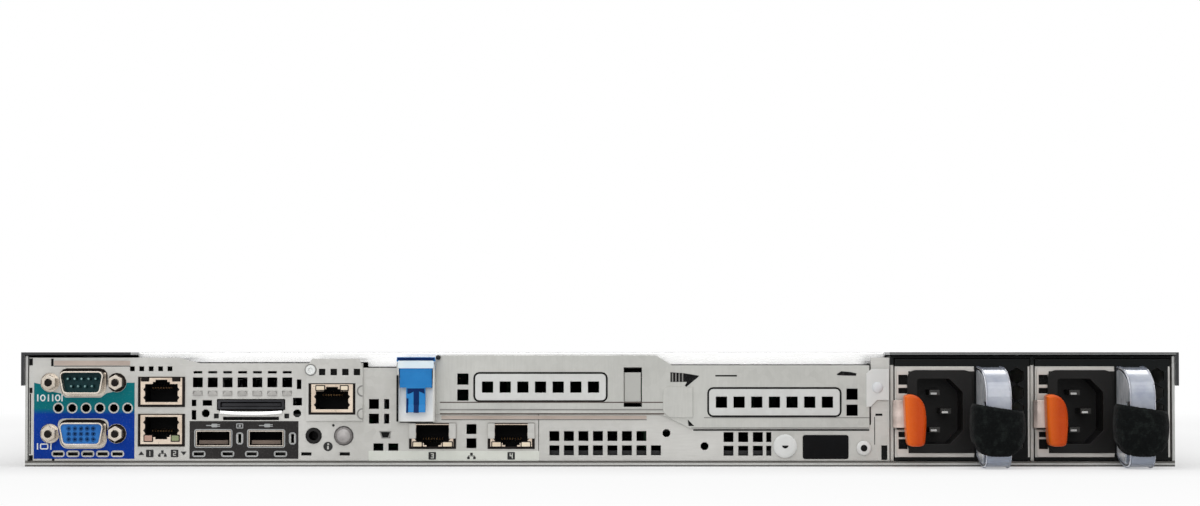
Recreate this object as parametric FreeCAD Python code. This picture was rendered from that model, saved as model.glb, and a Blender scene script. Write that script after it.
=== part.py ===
import FreeCAD, Part

import math
import os

from FreeCAD import Vector

# A one-unit rack server, seen from its rear, in millimetres.
# +X is to the right of someone facing the rear wall, +Y runs from the rear wall to the drives, +Z is up.
# The origin is under the middle of the whole server, on the surface that it stands on.

# Overall sizes
body_width = 434.0
body_height = 42.8
body_depth = 607.0
ear_width = 24.2
sheet = 1.0
clearance = 0.4
handle_reach = 34.0
ear_reach = 20.0
corner_chords = 3
small_count = 8
large_count = 14

# Planes that the rest is placed from
rear_y = handle_reach - (handle_reach + body_depth + ear_reach) / 2
wall_y = rear_y + sheet
front_y = rear_y + body_depth
body_half = body_width / 2
tray_half = body_half - sheet - clearance
inner_half = tray_half - sheet
lining_half = inner_half - clearance
cover_under = body_height - sheet
tray_top = cover_under - clearance

# Tray and cover
rear_lip_height = 1.9
rear_lip_depth = 3.0
rail_stud_radius = 4.0
rail_stud_count = 4
rail_stud_margin = 60.0
rail_stud_z = 18.0
lid_length = 167.0
lid_gap = 0.8
cover_front = front_y - lid_length
cover_flange = 12.5
cover_overhang = 1.5
notch_depth = 20.0
notch_left = 41.0
notch_lip = 1.4
latch_pocket_length = 64.0
latch_pocket_width = 46.0
latch_pocket_depth = 9.0
latch_pocket_y = cover_front - 154.0
latch_axis_inset = 5.4
latch_axis_drop = 4.6
latch_knuckle = 3.0
latch_plate = 3.0
latch_step = 6.0
latch_bevel = 3.0
latch_inset = 0.3
latch_dish = 2.2
latch_dish_rim = 8.0
latch_dish_end = 14.0
finger_gap = 12.0
bead_offset = 64.0
bead_width = 14.0
bead_depth = 1.2
bead_margin = 80.0

# Drives at the front, in bays between the side walls
drive_count = 4
divider = 1.2
drive_pitch = 2 * (lining_half - sheet) / drive_count
carrier_width = drive_pitch - divider - 2 * clearance
carrier_height = body_height - 14.4
carrier_foot = sheet + clearance
carrier_top = carrier_foot + carrier_height
carrier_sheet = 1.2
disk_width = carrier_width - 2 * (carrier_sheet + clearance)
disk_length = 147.0
disk_height = carrier_height - 2.3
disk_lift = 0.2
bezel_depth = 8.0
bezel_vents = 6
bezel_vent_pitch = 12.8
bezel_vent_width = 8.6
bezel_vent_height = 5.0
bezel_vent_drop = 5.8
lever_length = 72.0
lever_inset = 10.0
lever_well = 6.0
lever_foot = carrier_foot + 3.0
lever_top = lever_foot + 14.0
lever_rim = 4.0
lever_edge = 1.4
drive_lever = 3.0
drive_back = front_y - bezel_depth - disk_length
shelf_z = carrier_top + 1.2
shelf_y = drive_back - 11.2
backplane_room = 10.8
backplane_y = shelf_y - backplane_room
backplane_margin = 40.0
backplane_windows = ((-26.0, 10.0, 36.0, 8.0), (-4.0, 22.5, 80.0, 9.0))
backplane_socket_x = 21.0
backplane_socket_z = 9.0
backplane_socket = (34.0, 6.0)
backplane_socket_depth = 9.0
power_inset = 18.2
power_z = body_height - 5.8
power_radius = 2.6
power_length = 3.0
front_vents = 14
front_vent_pitch = 9.0
front_vent_width = 6.4
front_vent_height = 4.2
front_vent_inset = 64.2
front_window = 130.0
front_window_height = 6.0
front_window_inset = 44.2

# Fan wall between the drives and the main board
fan_count = 5
fan_size = cover_under - sheet - 2 * clearance
fan_depth = 28.0
fan_room = 37.0
fan_y = backplane_y - fan_room - fan_depth
fan_inset = 26.6
fan_pitch = 68.0
fan_radius = fan_size / 2 - 1.4
fan_hub = 8.0
fan_strut = 3.0
fan_strut_width = 2.0
fan_z = sheet + fan_size / 2
blade_count = 5
blade_sheet = 1.0
blade_twist = 35.0
blade_inset = 1.0
shaft_radius = 2.0
shaft_reach = 2.0

# Power supplies, measured from the right wall
supply_count = 2
supply_width = 50.6
supply_height = body_height - 4.6
supply_length = 228.0
supply_floor = 2.2
supply_middle = supply_floor + supply_height / 2
bay_width = supply_width + 2 * clearance
supply_pitch = bay_width + divider
cage_length = supply_length + 6.0
cage_left = lining_half - supply_count * supply_pitch
cage_sheet = 0.6
cage_top = tray_top - 0.1
cage_inset = 1.0
cage_window = 40.0
cage_window_rim = 5.0
supply_wall = 1.2
fan_chamber = 58.0
face_right = 4.4
face_left = 0.6
face_foot = 1.4
face_drop = 3.4
face_corner = 1.0
face_hole_x = -22.3
face_hole = 3.4
face_holes = ((32.5, 3.7), (28.4, 2.1), (12.0, 2.0), (8.4, 3.7))
inlet_x = -8.6
inlet_drop = 0.6
inlet_width = 24.4
inlet_height = 30.9
inlet_corner = 3.0
inlet_rim = 1.3
inlet_proud = 1.4
inlet_depth = 20.0
inlet_back = 5.0
socket_width = 17.0
socket_height = 24.4
socket_corner = 5.0
socket_round = 1.0
blade_spread = 7.0
blade_width = 4.0
blade_height = 2.0
blade_left = -1.6
blade_right = 2.6
blade_sink = 1.5
latch_pin_x = -23.2
latch_pin_radius = 1.0
latch_pivot = 12.0
latch_arm = 1.4
latch_low = 14.2
latch_high = 24.2
latch_reach = 14.0
latch_grip = 9.0
latch_grip_width = 7.4
latch_grip_low = 7.4
latch_grip_high = 26.8
latch_grip_rounds = [0.6, 3.4, 6.4, 0.6]
latch_slot = 3.0
handle_x = 9.8
handle_width = 9.6
handle_sheet = 1.6
handle_low = 3.2
handle_sag = 2.4
handle_high = 37.2
handle_turn = 11.0
handle_foot = 6.0
strap_thickness = 2.0
strap_width = 19.4
strap_depth = 12.0
strap_low = 4.4
strap_high = 24.0
strap_round = 4.8
grille_x = 9.4
grille_pitch = 6.3
grille_hole = 2.7
grille_columns = 3
grille_rows = 5
psu_rotor_length = 16.0
psu_rotor_radius = supply_height / 2 - 2.6
psu_hub = 7.0

# Rear wall, with places measured from its left end and its foot
panel_left = -lining_half
panel_right = cage_left - clearance
panel_foot = rear_lip_height + 0.2
panel_top = body_height - 4.1
panel_corner_top = tray_top - 0.6
panel_flange = 30.0
flange_left = panel_left + 64.0
flange_slope = 8.0
vent_square = 3.7
small_square = 2.4
post_width = 7.0
post_top = body_height - 2.0
post_panel_top = body_height - 5.8
plate_sheet = 0.8
plate_width = 21.4
plate_foot = 17.0
plate_shoulder = post_panel_top
plate_top = body_height - 2.4
plate_bevel_left = 2.4
plate_bevel_right = 1.4
plate_vent_x = 6.1
plate_vent_z = plate_top - 5.0
plate_vent_pitch = 4.35
plate_vents = 4
screw_head = 1.0
screw_tail = 2.0
screw_socket = 0.42

# Connectors in the rear wall, from left to right
dsub_x = panel_left + 20.4
dsub_width = 16.9
dsub_height = 8.4
dsub_lean = 10.0
dsub_rim = 1.1
dsub_corner = 1.8
dsub_screws = 25.0
dsub_reach = 5.6
dsub_depth = 10.0
dsub_flange = 11.6
dsub_shell = 0.5
dsub_sink = 0.4
serial_pin = 0.5
serial_pins = (5, 4)
serial_pitch = 2.6
serial_rows = 2.8
vga_bore = 0.55
vga_bores = (5, 5, 5)
vga_pitch = 2.3
vga_rows = 2.0
vga_bore_depth = 4.0
jack_screw_flat = 2.5
jack_screw_reach = 4.4
jack_screw_core = 1.4
jack_screw_shank = 4.0
serial_z = panel_top - 7.2
vga_z = 12.3
screw_hole = 3.5
jack_width = 17.2
jack_depth = 21.0
jack_proud = 0.5
mouth_width = 12.2
mouth_height = 6.8
mouth_depth = 14.0
mouth_lintel = 0.5
clip_wide = 6.4
clip_narrow = 4.4
clip_step = 0.8
lan_x = panel_left + 49.7
stack_top = 33.9
stack_noses = ((22.5, 33.4), (7.7, 19.5))
stack_mouths = (27.5, 15.2)
usb_x = (panel_left + 69.2, panel_left + 89.0)
usb_z = 10.5
usb_width = 13.1
usb_height = 5.9
usb_depth = 15.0
usb_wall = 0.4
tongue_sink = 1.2
tongue_gap = 0.7
tongue_low = 2.2
tongue_sheet = 1.5
media_x = panel_left + 83.3
media_z = 23.2
media_width = 24.8
media_height = 3.3
media_depth = 26.0
media_wall = 0.9
media_slot = 2.0
media_proud = 0.4
status_x = panel_left + 106.8
status_z = 11.5
status_radius = 2.8
status_bore = 1.75
status_block = 8.0
status_depth = 12.0
button_x = panel_left + 118.1
button_radius = 3.2
button_proud = 1.4
button_dome = 0.7
button_back = 3.0
button_collar = 1.2
management_right = panel_left + 125.3
management_x = management_right - 11.6
management_z = 19.6
management_height = 11.4
management_mouth = 5.2
lan3_x = panel_left + 151.4
lan4_x = panel_left + 180.9
low_jack_foot = 6.8
low_jack_top = 16.1
seam_margin = 1.6
wall_seam = 0.2
card_left = media_x - 16.0
card_right = management_right + 2.0
card_depth = 60.0
card_post = 2.2
card_post_inset = 4.0
card_post_y = 26.0
card_gap = 2.0

# Vents in the rear wall, from left to right
low_slot_z = 4.7
low_slot_width = 3.8
low_slot_height = 1.2
label_vent_x = panel_left + 11.0
label_slots = 5
label_slot_pitch = 5.57
label_holes = 6
label_hole_pitch = 5.2
label_hole_z = 21.9
round_vent = 1.45
top_vent_x = panel_left + 38.7
top_vent_z = panel_top - 2.1
top_vent_pitch = 3.53
top_vents = 5
tiny_square = 1.8
grid_x = panel_left + 63.3
grid_pitch = 5.59
grid_vents = 7
grid_z = 0.814 * panel_top
grid_slot_z = 0.912 * panel_top
grid_slot_width = 3.3
grid_slot_height = 0.9
louvre_z = 0.708 * panel_top
louvre_width = 3.6
louvre_height = 1.8
bow_slot_z = 18.0
bow_slot_width = 21.0
bow_slot_height = 1.3
usb_slot_x = 9.9
usb_slot_width = 1.2
usb_slot_height = 3.4
usb_low_slots = 10.8
button_slot_x = status_x - 2.7
button_low_slots = 14.4
narrow_vent = 1.9
post_vent_x = management_right + 4.1
post_vent_pitch = 4.8
post_vent_z = (17.9, 23.4)
foot_vent_x = management_right + 5.8
foot_vent_z = 6.8
foot_vent_pitch = 5.6
foot_slot_rise = 4.8
foot_slot_width = 3.3
foot_slot_height = 2.0
jack_vent_x = (lan3_x + lan4_x) / 2 - 0.15
jack_vent_z = (14.0, 8.7)
low_grid_x = lan4_x + 16.2
low_grid_pitch = 5.44
low_grid_z = (6.05, 11.4)
low_grid_end = panel_right - 83.7
right_grid_x = panel_right - 60.4
right_grid_pitch = 5.5
right_grid_vents = 3
right_grid_z = (5.9, 11.0)
right_grid_last = 15.1
# Odd slots round the card reader: x from the wall's left end, height of the middle, width, height
reader_slots = ((61.9, 23.8, 1.7, 2.4), (66.9, 23.8, 3.5, 2.1), (61.9, 19.3, 1.7, 3.6),
                (70.3, 18.9, 1.8, 1.8), (96.7, 18.9, 1.8, 1.8), (101.3, 30.8, 1.7, 3.6),
                (100.7, 24.3, 3.4, 2.9))
# Round holes: two beside the card reader, two in the low part of the wall
round_holes = ((panel_left + 66.3, 19.9), (panel_left + 100.6, 19.9),
               (panel_right - 83.7, 12.5), (panel_right - 69.4, 7.6))
# Screws of the wall and of the management plate: x, z and radius of the head
screw_places = ((panel_right - 39.2, 7.7, 4.3), (panel_right - 9.7, 6.9, 2.7),
                (management_right - 19.6, plate_top - 4.2, 1.8))

# Card cage over the low part of the wall, from the latch to the power supplies
riser_left = management_right + 12.9
riser_right = panel_right - 7.6
riser_foot = 14.2
riser_step = 5.4
riser_lap = 1.4
riser_top = body_height - 1.2
riser_low_top = body_height - 4.9
riser_shoulder_in = 1.5
riser_shoulder_out = 4.5
slot_first = 28.5
slot_last = 10.4
slot_between = 37.3
slot_width = (riser_right - riser_left - slot_first - slot_last - slot_between) / 2
slot_x = (riser_left + slot_first + slot_width / 2, riser_right - slot_last - slot_width / 2)
slot_rise = 1.85
slot_stand = 9.9
slot_z = ((riser_foot + riser_top) / 2 + slot_rise, riser_foot + slot_stand)
slot_room = 26.6
slot_height = riser_low_top - slot_room
slot_corner = 2.2
slot_square = 4.2
slot_pitch = 6.62
slot_margin = 6.0
slot_squares = int((slot_width - slot_margin) / slot_pitch) + 1
side_square_x = slot_width / 2 + 3.9
side_square_z = 3.0
tab_offset = slot_width / 2 + 9.4
tab_width = 6.8
tab_height = (slot_height + 3.5, slot_height - 0.3)
tab_gap = 1.9
step_left = slot_x[0] + slot_width / 2 + 19.6
step_right = step_left + 11.5
filler_proud = 0.7
filler_gap = 0.7
filler_lap = 1.6

# Card latch and the channel that it hangs in
channel_width = 14.4
channel_foot = riser_foot + 2.6
channel_wall = 0.8
channel_reach = 4.9
channel_web = 0.5
latch_out = 3.5
latch_z = body_height - 5.8
hook_pin = 1.2
hook_round = 2.0
hook_cap = 4.0
hook_cap_width = 14.3
hook_cap_foot = 2.3
hook_cap_front = 2.2
hook_cap_back = 1.6
hook_cap_bevel = 0.9
hook_body = 7.4
hook_neck = 2.8
hook_stem = 16.6
hook_stem_width = 7.2
hook_kick = 1.0

# Main board and what stands on it
board_z = 4.2
board_thickness = 1.6
board_top = board_z + board_thickness
board_left = panel_left + 2.0
board_right = cage_left - 4.0
board_start = rear_y + 6.0
board_end = fan_y - 29.0
board_post = 3.0
board_post_inset = 8.0
board_post_y = 40.0
board_post_columns = 4
sink_room = 157.2
sink_left = 46.2
sink_right = 47.0
sink_width = (board_right - board_left - sink_room) / 2
sink_x = (board_left + sink_left + sink_width / 2, board_right - sink_right - sink_width / 2)
sink_length = 96.0
sink_y = board_end - 130.0
sink_top = body_height - 12.2
sink_base = 4.0
sink_fins = 11
fin_sheet = 1.0
socket_side = 50.0
socket_rise = 2.0
module_length = 133.0
module_y = board_end - 146.0
module_height = body_height - 12.8
module_sheet = 3.8
module_pitch = 9.4
module_offset = 7.5
module_rank = 3
module_slot = 6.4
module_slot_height = 7.0
module_inset = 3.0
riser_length = module_y - rear_y - 18.0
riser_board_height = 26.0
riser_board_y = 42.0
riser_board_margin = 34.0
riser_board_x = (slot_x[0] + slot_width / 2 + 14.0, slot_x[1] - slot_width / 2 - 9.0)
riser_socket = 8.0
riser_socket_inset = 6.0
riser_socket_low = 4.0
riser_socket_high = 3.0

# Rack ears
rack_half = body_half + ear_width
ear_plate = 1.4
ear_length = 40.0
ear_flange = 2.0
ear_foot = 0.6
ear_plate_foot = 3.0
ear_hole = 3.3
ear_hole_inset = 8.65
ear_hole_margin = 5.525
ear_hole_spacing = body_height - 2 * ear_hole_margin
ear_grip_width = 12.0
ear_grip_inset = 0.4
ear_grip_foot = 2.2
ear_grip_round = 2.0


# Helpers

def box(x0, x1, y0, y1, z0, z1):
    return Part.makeBox(x1 - x0, y1 - y0, z1 - z0, Vector(x0, y0, z0))


def rod_y(radius, x, z, y0, y1):
    return Part.makeCylinder(radius, y1 - y0, Vector(x, y0, z), Vector(0, 1, 0))


def rod_x(radius, y, z, x0, x1):
    return Part.makeCylinder(radius, x1 - x0, Vector(x0, y, z), Vector(1, 0, 0))


def rod_z(radius, x, y, z0, z1):
    return Part.makeCylinder(radius, z1 - z0, Vector(x, y, z0), Vector(0, 0, 1))


def rounded(points, radius):
    # Each corner becomes a few chords of an arc. One radius serves all corners, a list gives each its own.
    radii = radius if isinstance(radius, list) else [radius] * len(points)
    outline = []
    for i, (u, v) in enumerate(points):
        if not radii[i]:
            outline.append((u, v))
            continue
        corner = Vector(u, v, 0)
        before = (Vector(*points[i - 1], 0) - corner).normalize()
        after = (Vector(*points[(i + 1) % len(points)], 0) - corner).normalize()
        half = before.getAngle(after) / 2
        centre = corner + (before + after).normalize() * (radii[i] / math.sin(half))
        start = corner + before * (radii[i] / math.tan(half)) - centre
        end = corner + after * (radii[i] / math.tan(half)) - centre
        turn = math.copysign(start.getAngle(end), start.cross(end).z)
        for k in range(corner_chords + 1):
            c = math.cos(turn * k / corner_chords)
            s = math.sin(turn * k / corner_chords)
            outline.append((centre.x + start.x * c - start.y * s, centre.y + start.x * s + start.y * c))
    return outline


def ring(u, v, radius, sides):
    # A regular outline whose flats touch a circle of this radius.
    reach = radius / math.cos(math.pi / sides)
    angles = [(i + 0.5) * 2 * math.pi / sides for i in range(sides)]
    return [(u + reach * math.cos(angle), v + reach * math.sin(angle)) for angle in angles]


def carried(corners, way):
    return Part.Face(Part.makePolygon(corners + corners[:1])).extrude(way)


def slab_y(points, radius, y0, y1):
    # A plate seen along Y, from (x, z) corners.
    return carried([Vector(x, y0, z) for x, z in rounded(points, radius)], Vector(0, y1 - y0, 0))


def slab_x(points, radius, x0, x1):
    # A section in (y, z) carried along X.
    return carried([Vector(x0, y, z) for y, z in rounded(points, radius)], Vector(x1 - x0, 0, 0))


def slab_z(points, radius, z0, z1):
    # An outline in (x, y) carried up Z.
    return carried([Vector(x, y, z0) for x, y in rounded(points, radius)], Vector(0, 0, z1 - z0))


def post_y(radius, x, z, y0, y1, sides=small_count):
    return slab_y(ring(x, z, radius, sides), 0, y0, y1)


def rectangle(x0, x1, z0, z1):
    return [(x0, z0), (x1, z0), (x1, z1), (x0, z1)]


def holes(y0, y1, places):
    # Rectangular cutters through a wall, one for each (x, z, width, height).
    return [box(x - w / 2, x + w / 2, y0, y1, z - h / 2, z + h / 2) for x, z, w, h in places]


def row(x, z, pitch, count, width, height):
    return [(x + i * pitch, z, width, height) for i in range(count)]


def save(name, *solids):
    shape = solids[0] if len(solids) == 1 else Part.makeCompound(list(solids))
    shape.exportStep(os.path.join("parts", name + ".step"))


# Tray: floor and side walls bent from one sheet, with a folded rear lip and studs for the rails

def make_tray():
    tray = box(-tray_half, tray_half, rear_y, front_y - sheet, 0, tray_top)
    tray = tray.cut(box(-inner_half, inner_half, rear_y - sheet, front_y, sheet, tray_top + sheet))
    lip = box(-inner_half, inner_half, rear_y - sheet / 2, rear_y + rear_lip_depth, 0, rear_lip_height)
    studs = []
    stud_pitch = (body_depth - 2 * rail_stud_margin) / (rail_stud_count - 1)
    for i in range(rail_stud_count):
        outline = ring(rear_y + rail_stud_margin + i * stud_pitch, rail_stud_z, rail_stud_radius, large_count)
        studs.append(slab_x(outline, 0, tray_half - sheet / 2, body_half))
        studs.append(slab_x(outline, 0, -body_half, -tray_half + sheet / 2))
    return tray.fuse([lip] + studs).removeSplitter()


# Cover: a plate with side flanges, notched over the rear wall, with two beads and a pocket for its latch

def make_cover():
    back = rear_y - cover_overhang
    cover = box(-body_half, body_half, back, cover_front, body_height - cover_flange, body_height)
    inside = box(-body_half + sheet, body_half - sheet, back - sheet, cover_front + sheet, 0, cover_under)
    notch_x0 = -body_half + notch_left
    notch_x1 = cage_left - clearance
    notch_y = rear_y + notch_depth
    notch = box(notch_x0, notch_x1, back - sheet, notch_y, 0, body_height + sheet)
    slope = sheet * math.sqrt(0.5)
    lip = slab_x([
        (notch_y + sheet, body_height),
        (notch_y, body_height),
        (notch_y - notch_lip, body_height - notch_lip),
        (notch_y - notch_lip + slope, body_height - notch_lip - slope),
        (notch_y + sheet, cover_under),
    ], 0, notch_x0, notch_x1)
    x = latch_pocket_width / 2
    y0 = latch_pocket_y
    y1 = y0 + latch_pocket_length
    floor = body_height - latch_pocket_depth
    pan = box(-x - sheet, x + sheet, y0 - sheet, y1 + sheet, floor - sheet, cover_under)
    hollow = box(-x, x, y0, y1, floor, body_height + sheet)
    cover = cover.cut([inside, notch]).fuse([lip, pan]).cut(hollow)
    bead_y0 = rear_y + bead_margin
    bead_y1 = y0 - bead_margin / 2
    half = bead_width / 2
    for middle in (-bead_offset, bead_offset):
        bead = box(middle - half, middle + half, bead_y0, bead_y1, cover_under - bead_depth, cover_under)
        groove = box(middle - half + sheet, middle + half - sheet, bead_y0 + sheet, bead_y1 - sheet,
                     cover_under - bead_depth + sheet / 2, body_height + sheet)
        cover = cover.fuse(bead).cut(groove)
    return cover.removeSplitter()


def make_cover_latch():
    axis_y = latch_pocket_y + latch_axis_inset
    axis_z = body_height - latch_axis_drop
    x = latch_pocket_width / 2 - clearance
    tip = latch_pocket_y + latch_pocket_length - finger_gap
    top = body_height - latch_inset
    foot = body_height - latch_plate
    lever = slab_x([
        (axis_y, axis_z - latch_knuckle), (axis_y, axis_z + latch_knuckle), (axis_y + latch_knuckle, top),
        (tip, top), (tip, foot), (tip - latch_step, foot),
        (tip - latch_step - latch_bevel, axis_z - latch_knuckle),
    ], 0, -x, x)
    knuckle = rod_x(latch_knuckle, axis_y, axis_z, -x, x)
    dish = box(-x + latch_dish_rim, x - latch_dish_rim, axis_y + latch_dish_end, tip - latch_dish_end,
               body_height - latch_dish, body_height)
    return lever.fuse(knuckle).cut(dish).removeSplitter()


# Outlines of the connectors, shared by each connector and by its opening in the wall

def d_outline(x, z, grow):
    # A D-shaped outline with its wide edge up and leaning sides.
    lean = dsub_height * math.tan(math.radians(dsub_lean))
    wide = dsub_width / 2 + grow
    narrow = wide - lean
    tall = dsub_height / 2 + grow
    return [(x - narrow, z - tall), (x + narrow, z - tall), (x + wide, z + tall), (x - wide, z + tall)]


def jack_outline(x, z0, z1, grow=0):
    half = jack_width / 2 + grow
    return rectangle(x - half, x + half, z0 - grow, z1 + grow)


def jack_noses():
    # Each network jack's opening in the wall: middle, foot and top.
    noses = [(lan_x, z0, z1) for z0, z1 in stack_noses]
    noses.append((management_x, management_z, management_z + management_height))
    noses += [(x, low_jack_foot, low_jack_top) for x in (lan3_x, lan4_x)]
    return noses


# Rear wall: two sheets with vents and connector openings, the left one with a flange under the cover

def wall_vents():
    v = vent_square
    places = row(label_vent_x, low_slot_z, label_slot_pitch, label_slots, low_slot_width, low_slot_height)
    places += row(top_vent_x, top_vent_z, top_vent_pitch, top_vents, tiny_square, tiny_square)
    places += row(grid_x, grid_z, grid_pitch, grid_vents, v, v)
    places += row(grid_x, grid_slot_z, grid_pitch, grid_vents, grid_slot_width, grid_slot_height)
    places += [(panel_left + x, z, width, height) for x, z, width, height in reader_slots]
    places.append((media_x, media_z, media_width + 2 * clearance, media_height + 2 * clearance))
    places.append((media_x, bow_slot_z, bow_slot_width, bow_slot_height))
    for x in usb_x:
        places.append((x, usb_z, usb_width + clearance, usb_height + clearance))
        places.append((x + usb_slot_x, usb_z, usb_slot_width, usb_slot_height))
        places += row(x - usb_low_slots / 2, low_slot_z, usb_low_slots, 2, low_slot_width, low_slot_height)
    places += row(button_slot_x, low_slot_z, button_low_slots, 2, low_slot_width, low_slot_height)
    for z in post_vent_z:
        places += [(post_vent_x, z, v, v), (post_vent_x + post_vent_pitch, z, narrow_vent, v)]
    places += row(foot_vent_x, foot_vent_z, foot_vent_pitch, 2, v, v)
    foot_slot_x = foot_vent_x + foot_vent_pitch / 2
    places.append((foot_slot_x, foot_vent_z + foot_slot_rise, foot_slot_width, foot_slot_height))
    places += [(jack_vent_x, z, v, v) for z in jack_vent_z]
    columns = int((low_grid_end - low_grid_x) / low_grid_pitch) + 1
    for i, z in enumerate(low_grid_z):
        places += row(low_grid_x, z, low_grid_pitch, columns - i, v, v)
    for z in right_grid_z:
        places += row(right_grid_x, z, right_grid_pitch, right_grid_vents, v, v)
        places.append((right_grid_x + right_grid_last, z, narrow_vent, v))
    return places


def make_rear_panel():
    low = riser_foot + riser_lap
    post_left = panel_right - post_width
    outline = [
        (panel_left, panel_foot), (panel_right, panel_foot), (panel_right, post_top), (post_left, post_top),
        (post_left, low), (step_right, low), (step_left, low + riser_step), (riser_left, low + riser_step),
        (riser_left, post_panel_top), (management_right, post_panel_top), (management_right, panel_top),
        (flange_left, panel_top), (flange_left - flange_slope, panel_corner_top),
        (panel_left, panel_corner_top),
    ]
    panel = slab_y(outline, 0, rear_y, wall_y)
    flange = box(flange_left, management_right - sheet, rear_y, rear_y + panel_flange,
                 panel_top - sheet, panel_top)
    y0 = rear_y - sheet
    y1 = wall_y + sheet
    cutters = holes(y0, y1, wall_vents())
    for i in range(label_holes):
        cutters.append(post_y(round_vent, label_vent_x + i * label_hole_pitch, label_hole_z, y0, y1))
    for x, z in round_holes:
        cutters.append(post_y(round_vent, x, z, y0, y1))
    for z in (serial_z, vga_z):
        cutters.append(slab_y(d_outline(dsub_x, z, dsub_rim), dsub_corner + dsub_rim, y0, y1))
        for x in jack_screw_places():
            cutters.append(post_y(screw_hole, x, z, y0, y1, large_count))
    for x, z0, z1 in jack_noses():
        cutters.append(slab_y(jack_outline(x, z0, z1, clearance / 2), 0, y0, y1))
    cutters.append(post_y(status_radius + clearance / 2, status_x, status_z, y0, y1, large_count))
    cutters.append(post_y(button_radius + clearance, button_x, status_z, y0, y1, large_count))
    for x, z, radius in screw_places:
        cutters.append(post_y(radius / 2 + clearance / 4, x, z, y0, y1))
    louvres = row(grid_x, louvre_z, grid_pitch, grid_vents, louvre_width, louvre_height)
    cutters += holes(y0, rear_y + sheet / 2, louvres)
    seam_x = lan4_x + jack_width / 2 + seam_margin
    cutters.append(box(seam_x, seam_x + wall_seam, y0, y1, 0, body_height))
    return panel.fuse(flange).cut(cutters).removeSplitter().Solids


# Management plate: a thin plate screwed over the wall around the management jack

def make_management_plate():
    y0 = rear_y - plate_sheet
    x0 = management_right - plate_width
    outline = [
        (x0, plate_foot), (management_right, plate_foot), (management_right, plate_shoulder),
        (management_right - plate_bevel_right, plate_top), (x0 + plate_bevel_left, plate_top),
        (x0, plate_shoulder),
    ]
    vents = row(x0 + plate_vent_x, plate_vent_z, plate_vent_pitch, plate_vents, small_square, small_square)
    cutters = holes(y0 - sheet, wall_y, vents)
    x, z0, z1 = jack_noses()[2]
    cutters.append(slab_y(jack_outline(x, z0, z1, clearance / 2), 0, y0 - sheet, wall_y))
    screw_x, screw_z, radius = screw_places[2]
    cutters.append(post_y(radius / 2 + clearance / 4, screw_x, screw_z, y0 - sheet, wall_y))
    return slab_y(outline, 0, y0, rear_y).cut(cutters).removeSplitter()


# Screws in the rear wall: flat heads with a recess, and a short shank through the sheet

def make_panel_screws():
    screws = []
    for x, z, radius in screw_places:
        face = rear_y - plate_sheet if x < management_right else rear_y
        front = face - screw_head
        head = post_y(radius, x, z, front, face, large_count)
        shank = post_y(radius / 2, x, z, face, wall_y + screw_tail)
        socket = post_y(radius * screw_socket, x, z, front - sheet, front + screw_head / 2)
        screws.append(head.fuse(shank).cut(socket).removeSplitter())
    return screws


# Card cage: a stepped face plate over the low part of the wall, a roof, a side wall and the latch's channel

def latch_axis():
    return rear_y - latch_out, latch_z


def make_riser_cage():
    y0 = rear_y - sheet
    foot = riser_foot + riser_step
    channel_right = riser_left + channel_width
    cap_foot = latch_z - hook_cap
    outline = [
        (riser_left, channel_foot), (channel_right, channel_foot), (channel_right, foot), (step_left, foot),
        (step_right, riser_foot), (riser_right, riser_foot), (riser_right, riser_low_top),
        (step_left + riser_shoulder_out, riser_low_top), (step_left - riser_shoulder_in, riser_top),
        (channel_right, riser_top), (channel_right, cap_foot), (riser_left, cap_foot),
    ]
    cage = slab_y(outline, 0, y0, rear_y)
    cutters = []
    half_w = slot_width / 2
    half_h = slot_height / 2
    for x, z, side, tall in zip(slot_x, slot_z, (-1, 1), tab_height):
        window = rectangle(x - half_w, x + half_w, z - half_h, z + half_h)
        cutters.append(slab_y(window, slot_corner, y0 - sheet, wall_y))
        middle = x + side * side_square_x
        squares = [(middle, z + dz, slot_square, slot_square) for dz in (-side_square_z, side_square_z)]
        cutters += holes(y0 - sheet, wall_y, squares + [(x - side * tab_offset, z, tab_width, tall)])
    back = rear_y + riser_length
    roof = box(channel_right, riser_right, rear_y, back, riser_low_top - sheet, riser_low_top)
    wall_start = rear_y + jack_depth + rear_lip_depth
    side_wall = box(channel_right, channel_right + sheet, wall_start, back, board_top, riser_low_top)
    cage = cage.fuse([roof, side_wall]).cut(cutters)
    return cage.fuse(make_channel()).removeSplitter()


def make_channel():
    axis_y, axis_z = latch_axis()
    front = rear_y - sheet - channel_reach
    right = riser_left + channel_width
    cap_foot = axis_z - hook_cap
    walls = []
    for x0 in (riser_left, right - channel_wall):
        x1 = x0 + channel_wall
        wall = box(x0, x1, front, rear_y - sheet, channel_foot, cap_foot)
        ear = slab_x(ring(axis_y, axis_z, hook_round, large_count), 0, x0, x1)
        neck = box(x0, x1, axis_y - hook_round, axis_y + hook_round, cap_foot - sheet, axis_z)
        bore = slab_x(ring(axis_y, axis_z, hook_pin + clearance / 4, large_count), 0, x0 - sheet, x1 + sheet)
        walls.append(wall.fuse([ear, neck]).cut(bore))
    web_y = axis_y + channel_web
    web = box(riser_left, right, web_y, web_y + channel_wall, channel_foot, cap_foot)
    return walls[0].fuse([walls[1], web])


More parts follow.
